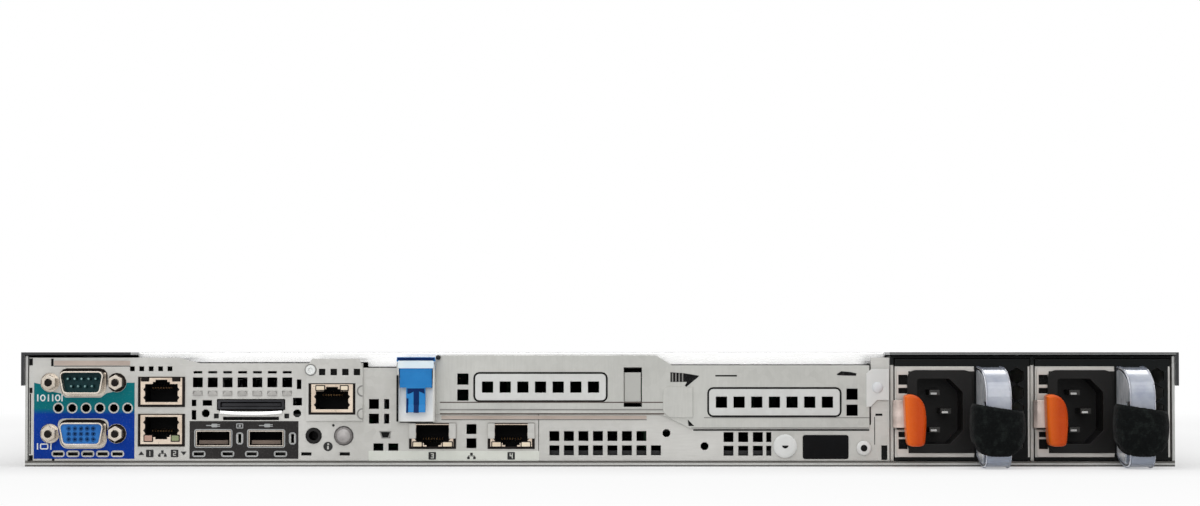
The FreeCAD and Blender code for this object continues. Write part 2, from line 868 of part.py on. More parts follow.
def make_card_latch():
    axis_y, axis_z = latch_axis()
    middle = riser_left + channel_width / 2
    body_x = channel_width / 2 - channel_wall - clearance
    front = axis_y - hook_round
    cap_y0 = axis_y - hook_cap_front
    cap_y1 = axis_y + hook_cap_back
    cap_top = axis_z + hook_cap
    cap = slab_x([
        (cap_y0, axis_z + hook_cap_foot), (cap_y1, axis_z + hook_cap_foot),
        (cap_y1, cap_top - hook_cap_bevel), (cap_y1 - hook_cap_bevel, cap_top),
        (cap_y0 + hook_cap_bevel, cap_top), (cap_y0, cap_top - hook_cap_bevel),
    ], 0, middle - hook_cap_width / 2, middle + hook_cap_width / 2)
    body_back = axis_y - clearance / 2
    neck_top = axis_z + hook_neck
    body = box(middle - body_x, middle + body_x, front, body_back, axis_z - hook_body, neck_top)
    neck = box(middle - body_x, middle + body_x, front, axis_y + hook_pin, axis_z, neck_top)
    knuckle = slab_x(ring(axis_y, axis_z, hook_round, large_count), 0, middle - body_x, middle + body_x)
    stem_top = axis_z - hook_body + hook_kick
    stem_foot = axis_z - hook_stem
    stem = slab_x([
        (front, stem_top), (axis_y - clearance, stem_top), (axis_y - clearance, stem_foot + 2 * hook_kick),
        (axis_y - clearance - hook_kick, stem_foot), (front - hook_kick, stem_foot),
        (front, stem_foot + 3 * hook_kick),
    ], 0, middle - hook_stem_width / 2, middle + hook_stem_width / 2)
    pin = rod_x(hook_pin, axis_y, axis_z, riser_left, riser_left + channel_width)
    return cap.fuse([body, knuckle, neck, stem, pin]).removeSplitter()


# Slot fillers: a plate behind the face, pressed out through the window, with vents and a springy end tab

def make_slot_filler(index):
    x = slot_x[index]
    z = slot_z[index]
    away = (1, -1)[index]
    half_w = slot_width / 2 - filler_gap
    half_h = slot_height / 2 - filler_gap
    front = rear_y - filler_proud
    window = rectangle(x - half_w, x + half_w, z - half_h, z + half_h)
    boss = slab_y(window, slot_corner - filler_gap, front, wall_y)
    back = box(x - half_w - filler_lap, x + half_w + filler_lap, rear_y, wall_y,
               z - half_h - filler_lap, z + half_h + filler_lap)
    tab_x = x + away * tab_offset
    tab_half = tab_width / 2 - clearance
    tab_tall = tab_height[index] / 2 - tab_gap
    arm_ends = sorted((x, tab_x + away * tab_half))
    arm = box(arm_ends[0], arm_ends[1], rear_y, wall_y, z - tab_tall, z + tab_tall)
    tab = box(tab_x - tab_half, tab_x + tab_half, front, wall_y, z - tab_tall, z + tab_tall)
    first = x - slot_pitch * (slot_squares - 1) / 2
    squares = row(first, z, slot_pitch, slot_squares, slot_square, slot_square)
    vents = holes(front - sheet, wall_y + sheet, squares)
    return back.fuse([boss, arm, tab]).cut(vents).removeSplitter()


# Serial and monitor connectors: a metal shell with a flange behind the wall, and an insert with pins or holes

def jack_screw_places():
    return [dsub_x - dsub_screws / 2, dsub_x + dsub_screws / 2]


def make_dsub_shell(z, foot):
    back = wall_y + dsub_depth
    tube = slab_y(d_outline(dsub_x, z, 0), dsub_corner, rear_y - dsub_reach, back)
    flange_x = dsub_screws / 2 + screw_hole
    top = z + dsub_flange / 2
    flange = box(dsub_x - flange_x, dsub_x + flange_x, wall_y, wall_y + sheet, z - dsub_flange / 2, top)
    body = box(dsub_x - dsub_width / 2, dsub_x + dsub_width / 2, wall_y, back, foot, top)
    inner = d_outline(dsub_x, z, -dsub_shell)
    bore = slab_y(inner, dsub_corner - dsub_shell, rear_y - dsub_reach - sheet, wall_y + dsub_depth / 2)
    screws = [post_y(jack_screw_core, x, z, wall_y - sheet, back + sheet) for x in jack_screw_places()]
    return tube.fuse([flange, body]).cut([bore] + screws).removeSplitter()


def dsub_pins(z, counts, pitch, rows):
    places = []
    for i, count in enumerate(counts):
        for j in range(count):
            places.append((dsub_x + (j - (count - 1) / 2) * pitch, z + ((len(counts) - 1) / 2 - i) * rows))
    return places


def dsub_block(z, front):
    inner = d_outline(dsub_x, z, -dsub_shell)
    return slab_y(inner, dsub_corner - dsub_shell, front, wall_y + dsub_depth / 2)


def make_serial_insert():
    places = dsub_pins(serial_z, serial_pins, serial_pitch, serial_rows)
    pins = [post_y(serial_pin, x, z, rear_y - dsub_reach + sheet, wall_y) for x, z in places]
    return dsub_block(serial_z, rear_y).fuse(pins).removeSplitter()


def make_vga_insert():
    front = rear_y - dsub_reach + dsub_sink
    places = dsub_pins(vga_z, vga_bores, vga_pitch, vga_rows)
    bores = [post_y(vga_bore, x, z, front - sheet, front + vga_bore_depth) for x, z in places]
    return dsub_block(vga_z, front).cut(bores)


def make_jack_screws():
    screws = []
    front = rear_y - jack_screw_reach
    for z in (serial_z, vga_z):
        for x in jack_screw_places():
            hexagon = post_y(jack_screw_flat, x, z, front, wall_y, 6)
            shank = post_y(jack_screw_core, x, z, wall_y, wall_y + jack_screw_shank)
            thread = post_y(jack_screw_core, x, z, front - sheet, rear_y - sheet / 2)
            screws.append(hexagon.fuse(shank).cut(thread).removeSplitter())
    return screws


# Network jacks: blocks behind the wall, with a nose through it and a stepped mouth for the plug and its clip

def jack_mouth(x, z, up, y0):
    # The plug's opening from its middle, with the clip's notch above it, or below it if up is -1.
    y1 = rear_y + mouth_depth
    mouth = holes(y0, y1, [(x, z, mouth_width, mouth_height)])[0]
    edge = z + up * mouth_height / 2
    notches = []
    for width, height in ((clip_wide, clip_step), (clip_narrow, 2 * clip_step)):
        ends = sorted((edge - up * clip_step, edge + up * height))
        notches.append(box(x - width / 2, x + width / 2, y0, y1, ends[0], ends[1]))
    return mouth.fuse(notches)


def make_jack(x, foot, top, noses, mouths):
    front = rear_y - jack_proud
    block = slab_y(jack_outline(x, foot, top), 0, wall_y, rear_y + jack_depth)
    block = block.fuse([slab_y(jack_outline(x, z0, z1), 0, front, wall_y) for z0, z1 in noses])
    return block.cut([jack_mouth(x, z, up, front - sheet) for z, up in mouths]).removeSplitter()


def make_lan_stack():
    return make_jack(lan_x, board_top, stack_top, stack_noses, zip(stack_mouths, (1, -1)))


def make_management_jack():
    top = management_z + management_height
    mouths = [(management_z + management_mouth, 1)]
    return make_jack(management_x, management_z, top, [(management_z, top)], mouths)


def make_low_jack(x):
    mouths = [(low_jack_top - mouth_lintel - mouth_height / 2, -1)]
    return make_jack(x, board_top, low_jack_top, [(low_jack_foot, low_jack_top)], mouths)


# USB ports: folded steel sleeves standing on the board, each with a plastic tongue

def make_usb_port(x):
    y0 = rear_y - usb_wall
    y1 = y0 + usb_depth
    half_w = usb_width / 2
    half_h = usb_height / 2
    sleeve = box(x - half_w, x + half_w, y0, y1, usb_z - half_h, usb_z + half_h)
    hollow = box(x - half_w + usb_wall, x + half_w - usb_wall, y0 - sheet, y1 - sheet,
                 usb_z - half_h + usb_wall, usb_z + half_h - usb_wall)
    legs = box(x - half_w, x + half_w, y0 + usb_depth / 2, y1, board_top, usb_z - half_h + usb_wall)
    return sleeve.cut(hollow).fuse(legs).removeSplitter()


def make_usb_tongue(x):
    half_w = usb_width / 2 - usb_wall - tongue_gap
    y1 = rear_y - usb_wall + usb_depth - sheet
    foot = usb_z - tongue_low
    return box(x - half_w, x + half_w, rear_y - usb_wall + tongue_sink, y1, foot, foot + tongue_sheet)


# Card reader, status jack and the button that lights the locating lamp

def make_management_card():
    under = management_z - board_thickness
    back = wall_y + card_depth
    card = box(card_left, card_right, wall_y + card_gap, back, under, management_z)
    posts = []
    for x in (card_left + card_post_inset, card_right - card_post_inset):
        for y in (wall_y + card_post_y, back - card_post_inset):
            posts.append(slab_z(ring(x, y, card_post, 6), 0, board_top, under))
    return [card] + posts


def make_media_slot():
    half_w = media_width / 2
    half_h = media_height / 2
    back = wall_y + media_depth
    front = rear_y - media_proud
    body = box(media_x - half_w, media_x + half_w, front, back, media_z - half_h, media_z + half_h)
    foot = box(media_x - half_w, media_x + half_w, wall_y + card_gap, back, management_z, media_z)
    slot_w = media_width - 2 * media_wall
    slot = holes(front - sheet, back - 2 * sheet, [(media_x, media_z, slot_w, media_slot)])
    return body.fuse(foot).cut(slot).removeSplitter()


def make_status_jack():
    half = status_block / 2
    barrel = post_y(status_radius, status_x, status_z, rear_y - jack_proud, wall_y, large_count)
    block = box(status_x - half, status_x + half, wall_y, wall_y + status_depth, board_top, status_z + half)
    bore = post_y(status_bore, status_x, status_z, rear_y - sheet, wall_y + status_depth - sheet, large_count)
    return barrel.fuse(block).cut(bore).removeSplitter()


def make_id_button():
    front = rear_y - button_proud
    face = button_radius - button_dome
    rim_y = front + button_dome
    wires = []
    for y, radius in ((front, face), (rim_y, button_radius)):
        corners = [Vector(x, y, z) for x, z in ring(button_x, status_z, radius, large_count)]
        wires.append(Part.makePolygon(corners + corners[:1]))
    dome = Part.makeLoft(wires, True, True)
    cap = post_y(button_radius, button_x, status_z, rim_y, wall_y + button_back, large_count)
    collar = post_y(button_radius + button_collar, button_x, status_z, wall_y, wall_y + sheet, large_count)
    return cap.fuse([dome, collar]).removeSplitter()


# Power supply cage: outer wall, divider, floor and roof, with a stop behind the supplies

def supply_x(index):
    return cage_left + divider + clearance + supply_width / 2 + index * supply_pitch


def make_psu_cage():
    y0 = rear_y + rear_lip_depth + clearance
    y1 = rear_y + cage_length
    front = rear_y + cage_inset
    floor = box(cage_left, lining_half, y0, y1, sheet, supply_floor - clearance / 2)
    roof = box(cage_left, lining_half, front, y1, cage_top - cage_sheet, cage_top)
    stop = box(cage_left, lining_half, y1 - divider, y1, sheet, cage_top)
    walls = []
    windows = []
    for i in range(supply_count):
        x0 = cage_left + i * supply_pitch
        walls.append(box(x0, x0 + divider, front, y1, panel_foot, cage_top))
        walls.append(box(x0, x0 + divider, y0, y1, sheet, cage_top))
        window = (supply_x(i), supply_middle, cage_window, supply_height - 2 * cage_window_rim)
        windows += holes(y1 - divider - sheet, y1 + sheet, [window])
    return floor.fuse([roof, stop] + walls).cut(windows).removeSplitter()


# Power supply: a sheet case with a bright plate, a mains inlet, a fan, a release lever and a soft handle

def grille_places(x):
    places = []
    for i in range(grille_columns):
        count = grille_rows - i % 2
        for j in range(count):
            z = supply_middle + (j - (count - 1) / 2) * grille_pitch
            places.append((x + grille_x + i * grille_pitch * math.sqrt(0.75), z))
    return places


def inlet_outline(x, inset):
    middle = supply_middle - inlet_drop
    half_w = inlet_width / 2 - inset
    half_h = inlet_height / 2 - inset
    return rectangle(x + inlet_x - half_w, x + inlet_x + half_w, middle - half_h, middle + half_h)


def lever_slot(x, y0, y1):
    left = x - supply_width / 2 - sheet
    return box(left, x + latch_pin_x + latch_slot, y0, y1, latch_low - clearance, latch_high + clearance)


def make_psu_case(index):
    x = supply_x(index)
    half = supply_width / 2
    top = supply_floor + supply_height
    chamber_y = rear_y + fan_chamber
    case = box(x - half, x + half, rear_y, rear_y + supply_length, supply_floor, top)
    chamber = box(x - half + sheet, x + half - sheet, rear_y + supply_wall, chamber_y,
                  supply_floor + sheet, top - sheet)
    y0 = rear_y - sheet
    y1 = rear_y + supply_wall + sheet
    grille = [post_y(grille_hole, hole_x, hole_z, y0, y1, 6) for hole_x, hole_z in grille_places(x)]
    opening = slab_y(inlet_outline(x, inlet_rim), face_corner, y0, y1)
    bore_end = chamber_y + shaft_reach + sheet
    bore = post_y(shaft_radius + clearance / 2, x, supply_middle, chamber_y - sheet, bore_end)
    return case.cut([chamber, lever_slot(x, y0, y1), opening, bore] + grille).removeSplitter()


def make_psu_face(index):
    x = supply_x(index)
    front = rear_y - plate_sheet
    foot = supply_floor + face_foot
    top = supply_floor + supply_height - face_drop
    left = x - supply_width / 2 + face_left
    face = slab_y(rectangle(left, x + face_right, foot, top), face_corner, front, rear_y)
    y0 = front - sheet
    opening = slab_y(inlet_outline(x, inlet_rim), face_corner, y0, wall_y)
    vents = holes(y0, wall_y, [(x + face_hole_x, z, face_hole, height) for z, height in face_holes])
    return face.cut([opening, lever_slot(x, y0, wall_y)] + vents).removeSplitter()


def make_psu_inlet(index):
    x = supply_x(index)
    face = rear_y - plate_sheet
    back = rear_y + inlet_depth
    flange = slab_y(inlet_outline(x, 0), inlet_corner, face - inlet_proud, face)
    body = slab_y(inlet_outline(x, inlet_rim + clearance / 2), face_corner, face, back)
    middle = supply_middle - inlet_drop
    right = x + inlet_x + socket_width / 2
    left = right - socket_width
    half = socket_height / 2
    outline = [
        (left, middle - half), (right - socket_corner, middle - half), (right, middle - half + socket_corner),
        (right, middle + half - socket_corner), (right - socket_corner, middle + half), (left, middle + half),
    ]
    socket = slab_y(outline, socket_round, face - inlet_proud - sheet, back - inlet_back)
    return flange.fuse(body).cut(socket).removeSplitter()


def make_psu_blades(index):
    x = supply_x(index) + inlet_x
    middle = supply_middle - inlet_drop
    places = [(blade_left, blade_spread), (blade_left, -blade_spread), (blade_right, 0)]
    outlines = [(x + dx, middle + dz, blade_width, blade_height) for dx, dz in places]
    return holes(rear_y + blade_sink, rear_y + inlet_depth - inlet_back, outlines)


def make_psu_latch(index):
    pin_x = supply_x(index) + latch_pin_x
    pin_y = rear_y + latch_pivot
    front = rear_y - latch_reach
    arm_x0 = pin_x - latch_arm / 2
    arm_x1 = pin_x + latch_arm / 2
    arm = box(arm_x0, arm_x1, front + latch_grip / 2, pin_y, latch_low, latch_high)
    outline = rectangle(arm_x0, pin_x + latch_grip_width, latch_grip_low, latch_grip_high)
    grip = slab_y(outline, latch_grip_rounds, front, front + latch_grip)
    pin = rod_z(latch_pin_radius, pin_x, pin_y, supply_floor + sheet, supply_floor + supply_height - sheet)
    return arm.fuse([grip, pin]).removeSplitter()


def handle_loop(inset, x0, x1):
    # The handle's outline: flat on top, sagging below, with two large turns at the outer end.
    out = rear_y - handle_reach + strap_thickness + inset
    low = handle_low + inset
    high = handle_high - inset
    turn = handle_turn - inset
    outline = [(rear_y, low), (rear_y, high), (out, high), (out, low - handle_sag)]
    return slab_x(outline, [0, 0, turn, turn], x0, x1)


def make_psu_handle(index):
    x0 = supply_x(index) + handle_x - handle_width / 2
    x1 = x0 + handle_width
    band = handle_loop(0, x0, x1).cut(handle_loop(handle_sheet, x0 - sheet, x1 + sheet))
    feet = []
    for z0 in (handle_low, handle_high - handle_foot):
        feet.append(box(x0, x1, rear_y - handle_sheet, rear_y, z0, z0 + handle_foot))
    return band.fuse(feet).removeSplitter()


def make_psu_strap(index):
    x = supply_x(index) + handle_x
    half = strap_width / 2
    y0 = rear_y - handle_reach
    outline = [(x - half, y0), (x + half, y0), (x + half, y0 + strap_depth), (x - half, y0 + strap_depth)]
    roll = slab_z(outline, strap_round, strap_low, strap_high)
    gap = clearance / 2
    x0 = x - handle_width / 2 - gap
    x1 = x + handle_width / 2 + gap
    band = handle_loop(-gap, x0, x1).cut(handle_loop(handle_sheet + gap, x0 - sheet, x1 + sheet))
    return roll.cut(band)


# Fans: a hub on a shaft, with twisted blades, turning about Y

def make_rotor(x, z, y0, length, radius, hub, shaft_y0, shaft_y1):
    reach = (length / 2 - blade_inset) * math.sin(math.radians(blade_twist)) + blade_sheet / 2
    tip = math.sqrt(radius ** 2 - reach ** 2)
    half = blade_sheet / 2
    blades = []
    for i in range(blade_count):
        blade = box(x - half, x + half, y0 + blade_inset, y0 + length - blade_inset,
                    z + hub - 2 * blade_sheet, z + tip)
        blade.rotate(Vector(x, y0 + length / 2, z), Vector(0, 0, 1), blade_twist)
        blade.rotate(Vector(x, y0, z), Vector(0, 1, 0), 360 * i / blade_count)
        blades.append(blade)
    core = post_y(hub, x, z, y0, y0 + length, 2 * blade_count)
    shaft = rod_y(shaft_radius, x, z, shaft_y0, shaft_y1)
    return core.fuse(blades + [shaft]).removeSplitter()


def make_psu_rotor(index):
    y1 = rear_y + fan_chamber
    y0 = y1 - psu_rotor_length
    return make_rotor(supply_x(index), supply_middle, y0, psu_rotor_length, psu_rotor_radius, psu_hub,
                      y1 - sheet, y1 + shaft_reach)


def fan_x(index):
    return fan_inset - inner_half + index * fan_pitch


def make_fan_frame(index):
    x = fan_x(index)
    half = fan_size / 2
    y1 = fan_y + fan_strut
    frame = box(x - half, x + half, fan_y, fan_y + fan_depth, sheet, sheet + fan_size)
    bore = post_y(fan_radius + clearance, x, fan_z, fan_y - sheet, fan_y + fan_depth + sheet, large_count)
    post = post_y(fan_hub, x, fan_z, fan_y, y1, 2 * blade_count)
    struts = []
    for angle in (45, 135):
        strut = box(x - half - sheet, x + half + sheet, fan_y, y1,
                    fan_z - fan_strut_width / 2, fan_z + fan_strut_width / 2)
        strut.rotate(Vector(x, fan_y, fan_z), Vector(0, 1, 0), angle)
        struts.append(strut)
    bearing = post_y(shaft_radius + clearance / 2, x, fan_z, fan_y - sheet, y1 + sheet)
    return frame.cut(bore).fuse([post] + struts).cut(bearing).removeSplitter()


def make_fan_rotor(index):
    y0 = fan_y + fan_strut
    length = fan_depth - fan_strut - 2 * sheet
    return make_rotor(fan_x(index), fan_z, y0, length, fan_radius - clearance, fan_hub,
                      y0 - shaft_reach, y0 + sheet)


# Main board on its standoffs, with heat sinks, memory and the riser boards standing on it

def make_motherboard():
    board = box(board_left, board_right, board_start, board_end, board_z, board_top)
    posts = []
    column = (board_right - board_left - 2 * board_post_inset) / (board_post_columns - 1)
    for i in range(board_post_columns):
        x = board_left + board_post_inset + i * column
        for y in (board_start + board_post_y, (board_start + board_end) / 2, board_end - board_post_y):
            posts.append(slab_z(ring(x, y, board_post, 6), 0, sheet, board_z))
    half = socket_side / 2
    y = sink_y + sink_length / 2
    top = board_top + socket_rise
    sockets = [box(x - half, x + half, y - half, y + half, board_top, top) for x in sink_x]
    return board.fuse(posts + sockets).removeSplitter()


def make_heat_sink(x):
    foot = board_top + socket_rise
    left = x - sink_width / 2
    base = box(left, left + sink_width, sink_y, sink_y + sink_length, foot, foot + sink_base)
    step = (sink_width - fin_sheet) / (sink_fins - 1)
    fins = []
    for i in range(sink_fins):
        fin_x = left + i * step
        fins.append(box(fin_x, fin_x + fin_sheet, sink_y, sink_y + sink_length, foot, sink_top))
    return base.fuse(fins).removeSplitter()


def make_memory_modules():
    modules = []
    y1 = module_y + module_length
    for x in sink_x:
        for side in (-1, 1):
            for i in range(module_rank):
                middle = x + side * (sink_width / 2 + module_offset + module_pitch * i)
                slot = box(middle - module_slot / 2, middle + module_slot / 2, module_y, y1,
                           board_top, board_top + module_slot_height)
                stick = box(middle - module_sheet / 2, middle + module_sheet / 2,
                            module_y + module_inset, y1 - module_inset,
                            board_top + module_slot_height - sheet, board_top + module_height)
                modules.append(slot.fuse(stick).removeSplitter())
    return modules


def make_riser_board(index):
    x = riser_board_x[index]
    z = slot_z[index]
    y0 = rear_y + riser_board_y
    y1 = rear_y + riser_length - riser_board_margin
    card = box(x, x + board_thickness, y0, y1, board_top, board_top + riser_board_height)
    socket = box(x - riser_socket, x, y0 + riser_socket_inset, y1 - riser_socket_inset,
                 z - riser_socket_low, z + riser_socket_high)
    return card.fuse(socket).removeSplitter()


# Drive cage: shelf and dividers for the carriers, the fixed lid over them and the vented strip above

def drive_x(index):
    return (index - (drive_count - 1) / 2) * drive_pitch


def power_x():
    return power_inset - lining_half


def make_drive_cage():
    lid = box(-body_half, body_half, cover_front + lid_gap, front_y, cover_under, body_height)
    strip = box(-lining_half, lining_half, front_y - sheet, front_y, shelf_z, cover_under + sheet / 2)
    shelf = box(-lining_half, lining_half, shelf_y, front_y, shelf_z, shelf_z + sheet)
    walls = []
    for i in range(1, drive_count):
        x = (drive_x(i - 1) + drive_x(i)) / 2
        walls.append(box(x - divider / 2, x + divider / 2, shelf_y, front_y, sheet, shelf_z + sheet / 2))
    for x0 in (-lining_half, lining_half - sheet):
        walls.append(box(x0, x0 + sheet, shelf_y, front_y - sheet, sheet, cover_under + sheet / 2))
    y0 = front_y - 2 * sheet
    y1 = front_y + sheet
    vent_x = front_vent_inset - lining_half
    vents = row(vent_x, power_z, front_vent_pitch, front_vents, front_vent_width, front_vent_height)
    window_x = lining_half - front_window_inset - front_window / 2
    vents.append((window_x, power_z, front_window, front_window_height))
    button = post_y(power_radius + clearance, power_x(), power_z, y0, y1, large_count)
    return lid.fuse([strip, shelf] + walls).cut(holes(y0, y1, vents) + [button]).removeSplitter()


def make_power_button():
    inner = front_y - sheet
    cap = post_y(power_radius, power_x(), power_z, inner - power_length, front_y + sheet, large_count)
    collar = post_y(power_radius + button_collar, power_x(), power_z, inner - sheet, inner, large_count)
    return cap.fuse(collar).removeSplitter()


def make_drive(index):
    x = drive_x(index)
    half = carrier_width / 2
    bezel_y = front_y - bezel_depth
    frame = box(x - half, x + half, drive_back, front_y, carrier_foot, carrier_top)
    hollow = box(x - half + carrier_sheet, x + half - carrier_sheet, drive_back - sheet, bezel_y,
                 0, carrier_top + sheet)
    vent_x = x - bezel_vent_pitch * (bezel_vents - 1) / 2
    vents = row(vent_x, carrier_top - bezel_vent_drop, bezel_vent_pitch, bezel_vents,
                bezel_vent_width, bezel_vent_height)
    well = box(x - half + lever_well, x + half - lever_well, front_y - drive_lever - sheet, front_y + sheet,
               lever_foot, lever_top)
    carrier = frame.cut([hollow, well] + holes(bezel_y - sheet, front_y + sheet, vents)).removeSplitter()
    disk_foot = carrier_foot + disk_lift
    disk = box(x - disk_width / 2, x + disk_width / 2, drive_back + carrier_sheet, bezel_y,
               disk_foot, disk_foot + disk_height)
    return [carrier, disk]


def make_drive_handle(index):
    x = drive_x(index) - carrier_width / 2 + lever_inset
    y = front_y - drive_lever / 2 - sheet / 2
    half = drive_lever / 2 - clearance / 2
    end = x + lever_length
    corners = [Vector(px, py, lever_foot) for px, py in ((x, y - half), (x - half, y), (x, y + half),
                                                         (end, y + half), (end, y - half))]
    edges = [
        Part.Arc(*corners[:3]).toShape(),
        Part.LineSegment(corners[2], corners[3]).toShape(),
        Part.LineSegment(corners[3], corners[4]).toShape(),
        Part.LineSegment(corners[4], corners[0]).toShape(),
    ]
    lever = Part.Face(Part.Wire(edges)).extrude(Vector(0, 0, lever_top - lever_foot))
    y0 = y - half - sheet
    y1 = y + half + sheet
    cutters = []
    for z0, z1 in ((lever_foot - sheet, lever_foot + lever_edge),
                   (lever_top - lever_edge, lever_top + sheet)):
        cutters.append(box(x + lever_rim, end + sheet, y0, y1, z0, z1))
    cutters.append(box(x + 3 * lever_rim, end - 3 * lever_rim, y0, y1,
                       lever_foot + lever_rim, lever_top - lever_rim))
    return lever.cut(cutters).removeSplitter()


def make_backplane():
    half = drive_x(drive_count - 1) + backplane_margin
    y1 = backplane_y + board_thickness
    board = box(-half, half, backplane_y, y1, sheet, shelf_z)
    openings = []
    sockets = []
    for i in range(drive_count):
        x = drive_x(i)
        windows = [(x + dx, z, w, h) for dx, z, w, h in backplane_windows]
        openings += holes(backplane_y - sheet, y1 + sheet, windows)
        socket_x = x + backplane_socket_x
        places = [(socket_x, backplane_socket_z, *backplane_socket)]
        sockets += holes(y1, backplane_y + backplane_socket_depth, places)
    return board.cut(openings).fuse(sockets).removeSplitter()


# Rack ears: a bent plate on each side wall, with rack holes and a grip that the rail latch sits in

def make_ear(side):
    flange_y = front_y - sheet
    plate = box(tray_half, tray_half + ear_plate, front_y - ear_length, flange_y,
                ear_plate_foot, tray_top - 2 * sheet)
    flange = box(tray_half, rack_half, flange_y, flange_y + ear_flange, ear_foot, cover_under - clearance)
    x0 = tray_half + ear_grip_inset
    x1 = x0 + ear_grip_width
    outline = [(x0, front_y), (x1, front_y), (x1, front_y + ear_reach), (x0, front_y + ear_reach)]
    grip = slab_z(outline, ear_grip_round, ear_grip_foot, body_height - ear_grip_foot)
    ear = plate.fuse([flange, grip])
    x = rack_half - ear_hole_inset
    for dz in (-ear_hole_spacing / 2, ear_hole_spacing / 2):
        z = body_height / 2 + dz
        ear = ear.cut(rod_y(ear_hole, x, z, flange_y - sheet, flange_y + ear_flange + sheet))
    ear = ear.removeSplitter()
    return ear if side > 0 else ear.mirror(Vector(0, 0, 0), Vector(1, 0, 0))


os.makedirs("parts", exist_ok=True)

save("chassis_tray", make_tray())
save("top_cover", make_cover())
save("cover_latch", make_cover_latch())
save("rear_panel", *make_rear_panel())
save("management_plate", make_management_plate())
save("panel_screws", *make_panel_screws())
save("riser_cage", make_riser_cage())
save("card_latch", make_card_latch())
save("slot_fillers", make_slot_filler(0), make_slot_filler(1))
save("dsub_shells", make_dsub_shell(serial_z, serial_z - dsub_flange / 2), make_dsub_shell(vga_z, board_top))
save("serial_insert", make_serial_insert())
save("vga_insert", make_vga_insert())
save("jack_screws", *make_jack_screws())
save("lan_jack_stack", make_lan_stack())
save("lan_jacks", make_management_jack(), make_low_jack(lan3_x), make_low_jack(lan4_x))
save("usb_ports", *[make_usb_port(x) for x in usb_x])
save("usb_tongues", *[make_usb_tongue(x) for x in usb_x])
save("management_card", *make_management_card())
save("media_card_slot", make_media_slot())
save("status_jack", make_status_jack())
save("id_button", make_id_button())
save("psu_cage", make_psu_cage())
for supply in range(supply_count):
    name = "psu_%d_" % (supply + 1)
    save(name + "case", make_psu_case(supply))
    save(name + "face", make_psu_face(supply))
    save(name + "inlet", make_psu_inlet(supply))
    save(name + "blades", *make_psu_blades(supply))
    save(name + "latch", make_psu_latch(supply))
    save(name + "handle", make_psu_handle(supply))
    save(name + "strap", make_psu_strap(supply))
    save(name + "fan_rotor", make_psu_rotor(supply))
save("fan_frames", *[make_fan_frame(fan) for fan in range(fan_count)])
for fan in range(fan_count):
    save("fan_rotor_%d" % (fan + 1), make_fan_rotor(fan))
save("motherboard", make_motherboard())
save("heat_sinks", *[make_heat_sink(x) for x in sink_x])
save("memory_modules", *make_memory_modules())
save("riser_boards", make_riser_board(0), make_riser_board(1))
save("drive_cage", make_drive_cage())
for drive in range(drive_count):
    save("drive_%d" % (drive + 1), *make_drive(drive))
    save("drive_%d_handle" % (drive + 1), make_drive_handle(drive))
save("backplane", make_backplane())
save("rack_ears", make_ear(-1), make_ear(1))
save("power_button", make_power_button())
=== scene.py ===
import bpy
import bmesh
import math
import random
from mathutils import Matrix, Vector


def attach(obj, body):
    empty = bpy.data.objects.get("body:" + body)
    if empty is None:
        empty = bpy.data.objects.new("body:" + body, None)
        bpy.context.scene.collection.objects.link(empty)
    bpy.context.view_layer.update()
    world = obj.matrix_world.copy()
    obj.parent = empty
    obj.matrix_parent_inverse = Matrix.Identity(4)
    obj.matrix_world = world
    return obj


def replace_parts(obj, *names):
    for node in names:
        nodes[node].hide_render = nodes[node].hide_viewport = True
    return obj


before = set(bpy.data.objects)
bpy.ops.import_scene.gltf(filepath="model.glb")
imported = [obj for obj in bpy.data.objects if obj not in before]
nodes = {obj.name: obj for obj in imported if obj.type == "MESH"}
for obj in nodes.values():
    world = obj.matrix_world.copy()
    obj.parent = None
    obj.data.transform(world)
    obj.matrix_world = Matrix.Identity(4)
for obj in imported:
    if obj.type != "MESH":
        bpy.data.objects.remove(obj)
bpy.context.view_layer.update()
mm = 0.001
rearY = -296.5  # outer face of the rear wall, in mm as part.py has it
print("frame loaded:", len(nodes), "nodes")

# camera, world, floor and lamps
shot = {"distance": 1.2, "height": 0.043, "pitch": 1.77, "lens": 95.87, "sensor": 36.0}
cameraData = bpy.data.cameras.new("rearCamera")
cameraData.lens = shot["lens"]
cameraData.sensor_width = shot["sensor"]
cameraData.clip_end = 60.0
camera = bpy.data.objects.new("rearCamera", cameraData)
camera.location = (0.0, rearY * mm - shot["distance"], shot["height"])
camera.rotation_euler = (math.radians(90.0 + shot["pitch"]), 0.0, 0.0)
bpy.context.collection.objects.link(camera)
bpy.context.scene.camera = camera
bpy.context.scene.view_settings.view_transform = "Standard"


def addNode(tree, kind, values=None, feeds=None, **settings):
    node = tree.nodes.new(kind)
    for key, value in settings.items():
        setattr(node, key, value)
    for key, value in (values or {}).items():
        node.inputs[key].default_value = value
    for key, socket in (feeds or {}).items():
        tree.links.new(socket, node.inputs[key])
    return node


def paint(red, green, blue):  # screen colour to the shader's linear colour
    def linear(level):
        share = level / 255.0
        return share / 12.92 if share <= 0.04045 else ((share + 0.055) / 1.055) ** 2.4
    return (linear(red), linear(green), linear(blue), 1.0)


def seenShare(tree):  # 1 for camera, glossy and transmission rays
    path = addNode(tree, "ShaderNodeLightPath")
    glossy = addNode(tree, "ShaderNodeMath", operation="MAXIMUM",
                     feeds={0: path.outputs["Is Camera Ray"], 1: path.outputs["Is Glossy Ray"]})
    return addNode(tree, "ShaderNodeMath", operation="MAXIMUM",
                   feeds={0: glossy.outputs[0], 1: path.outputs["Is Transmission Ray"]}).outputs[0]


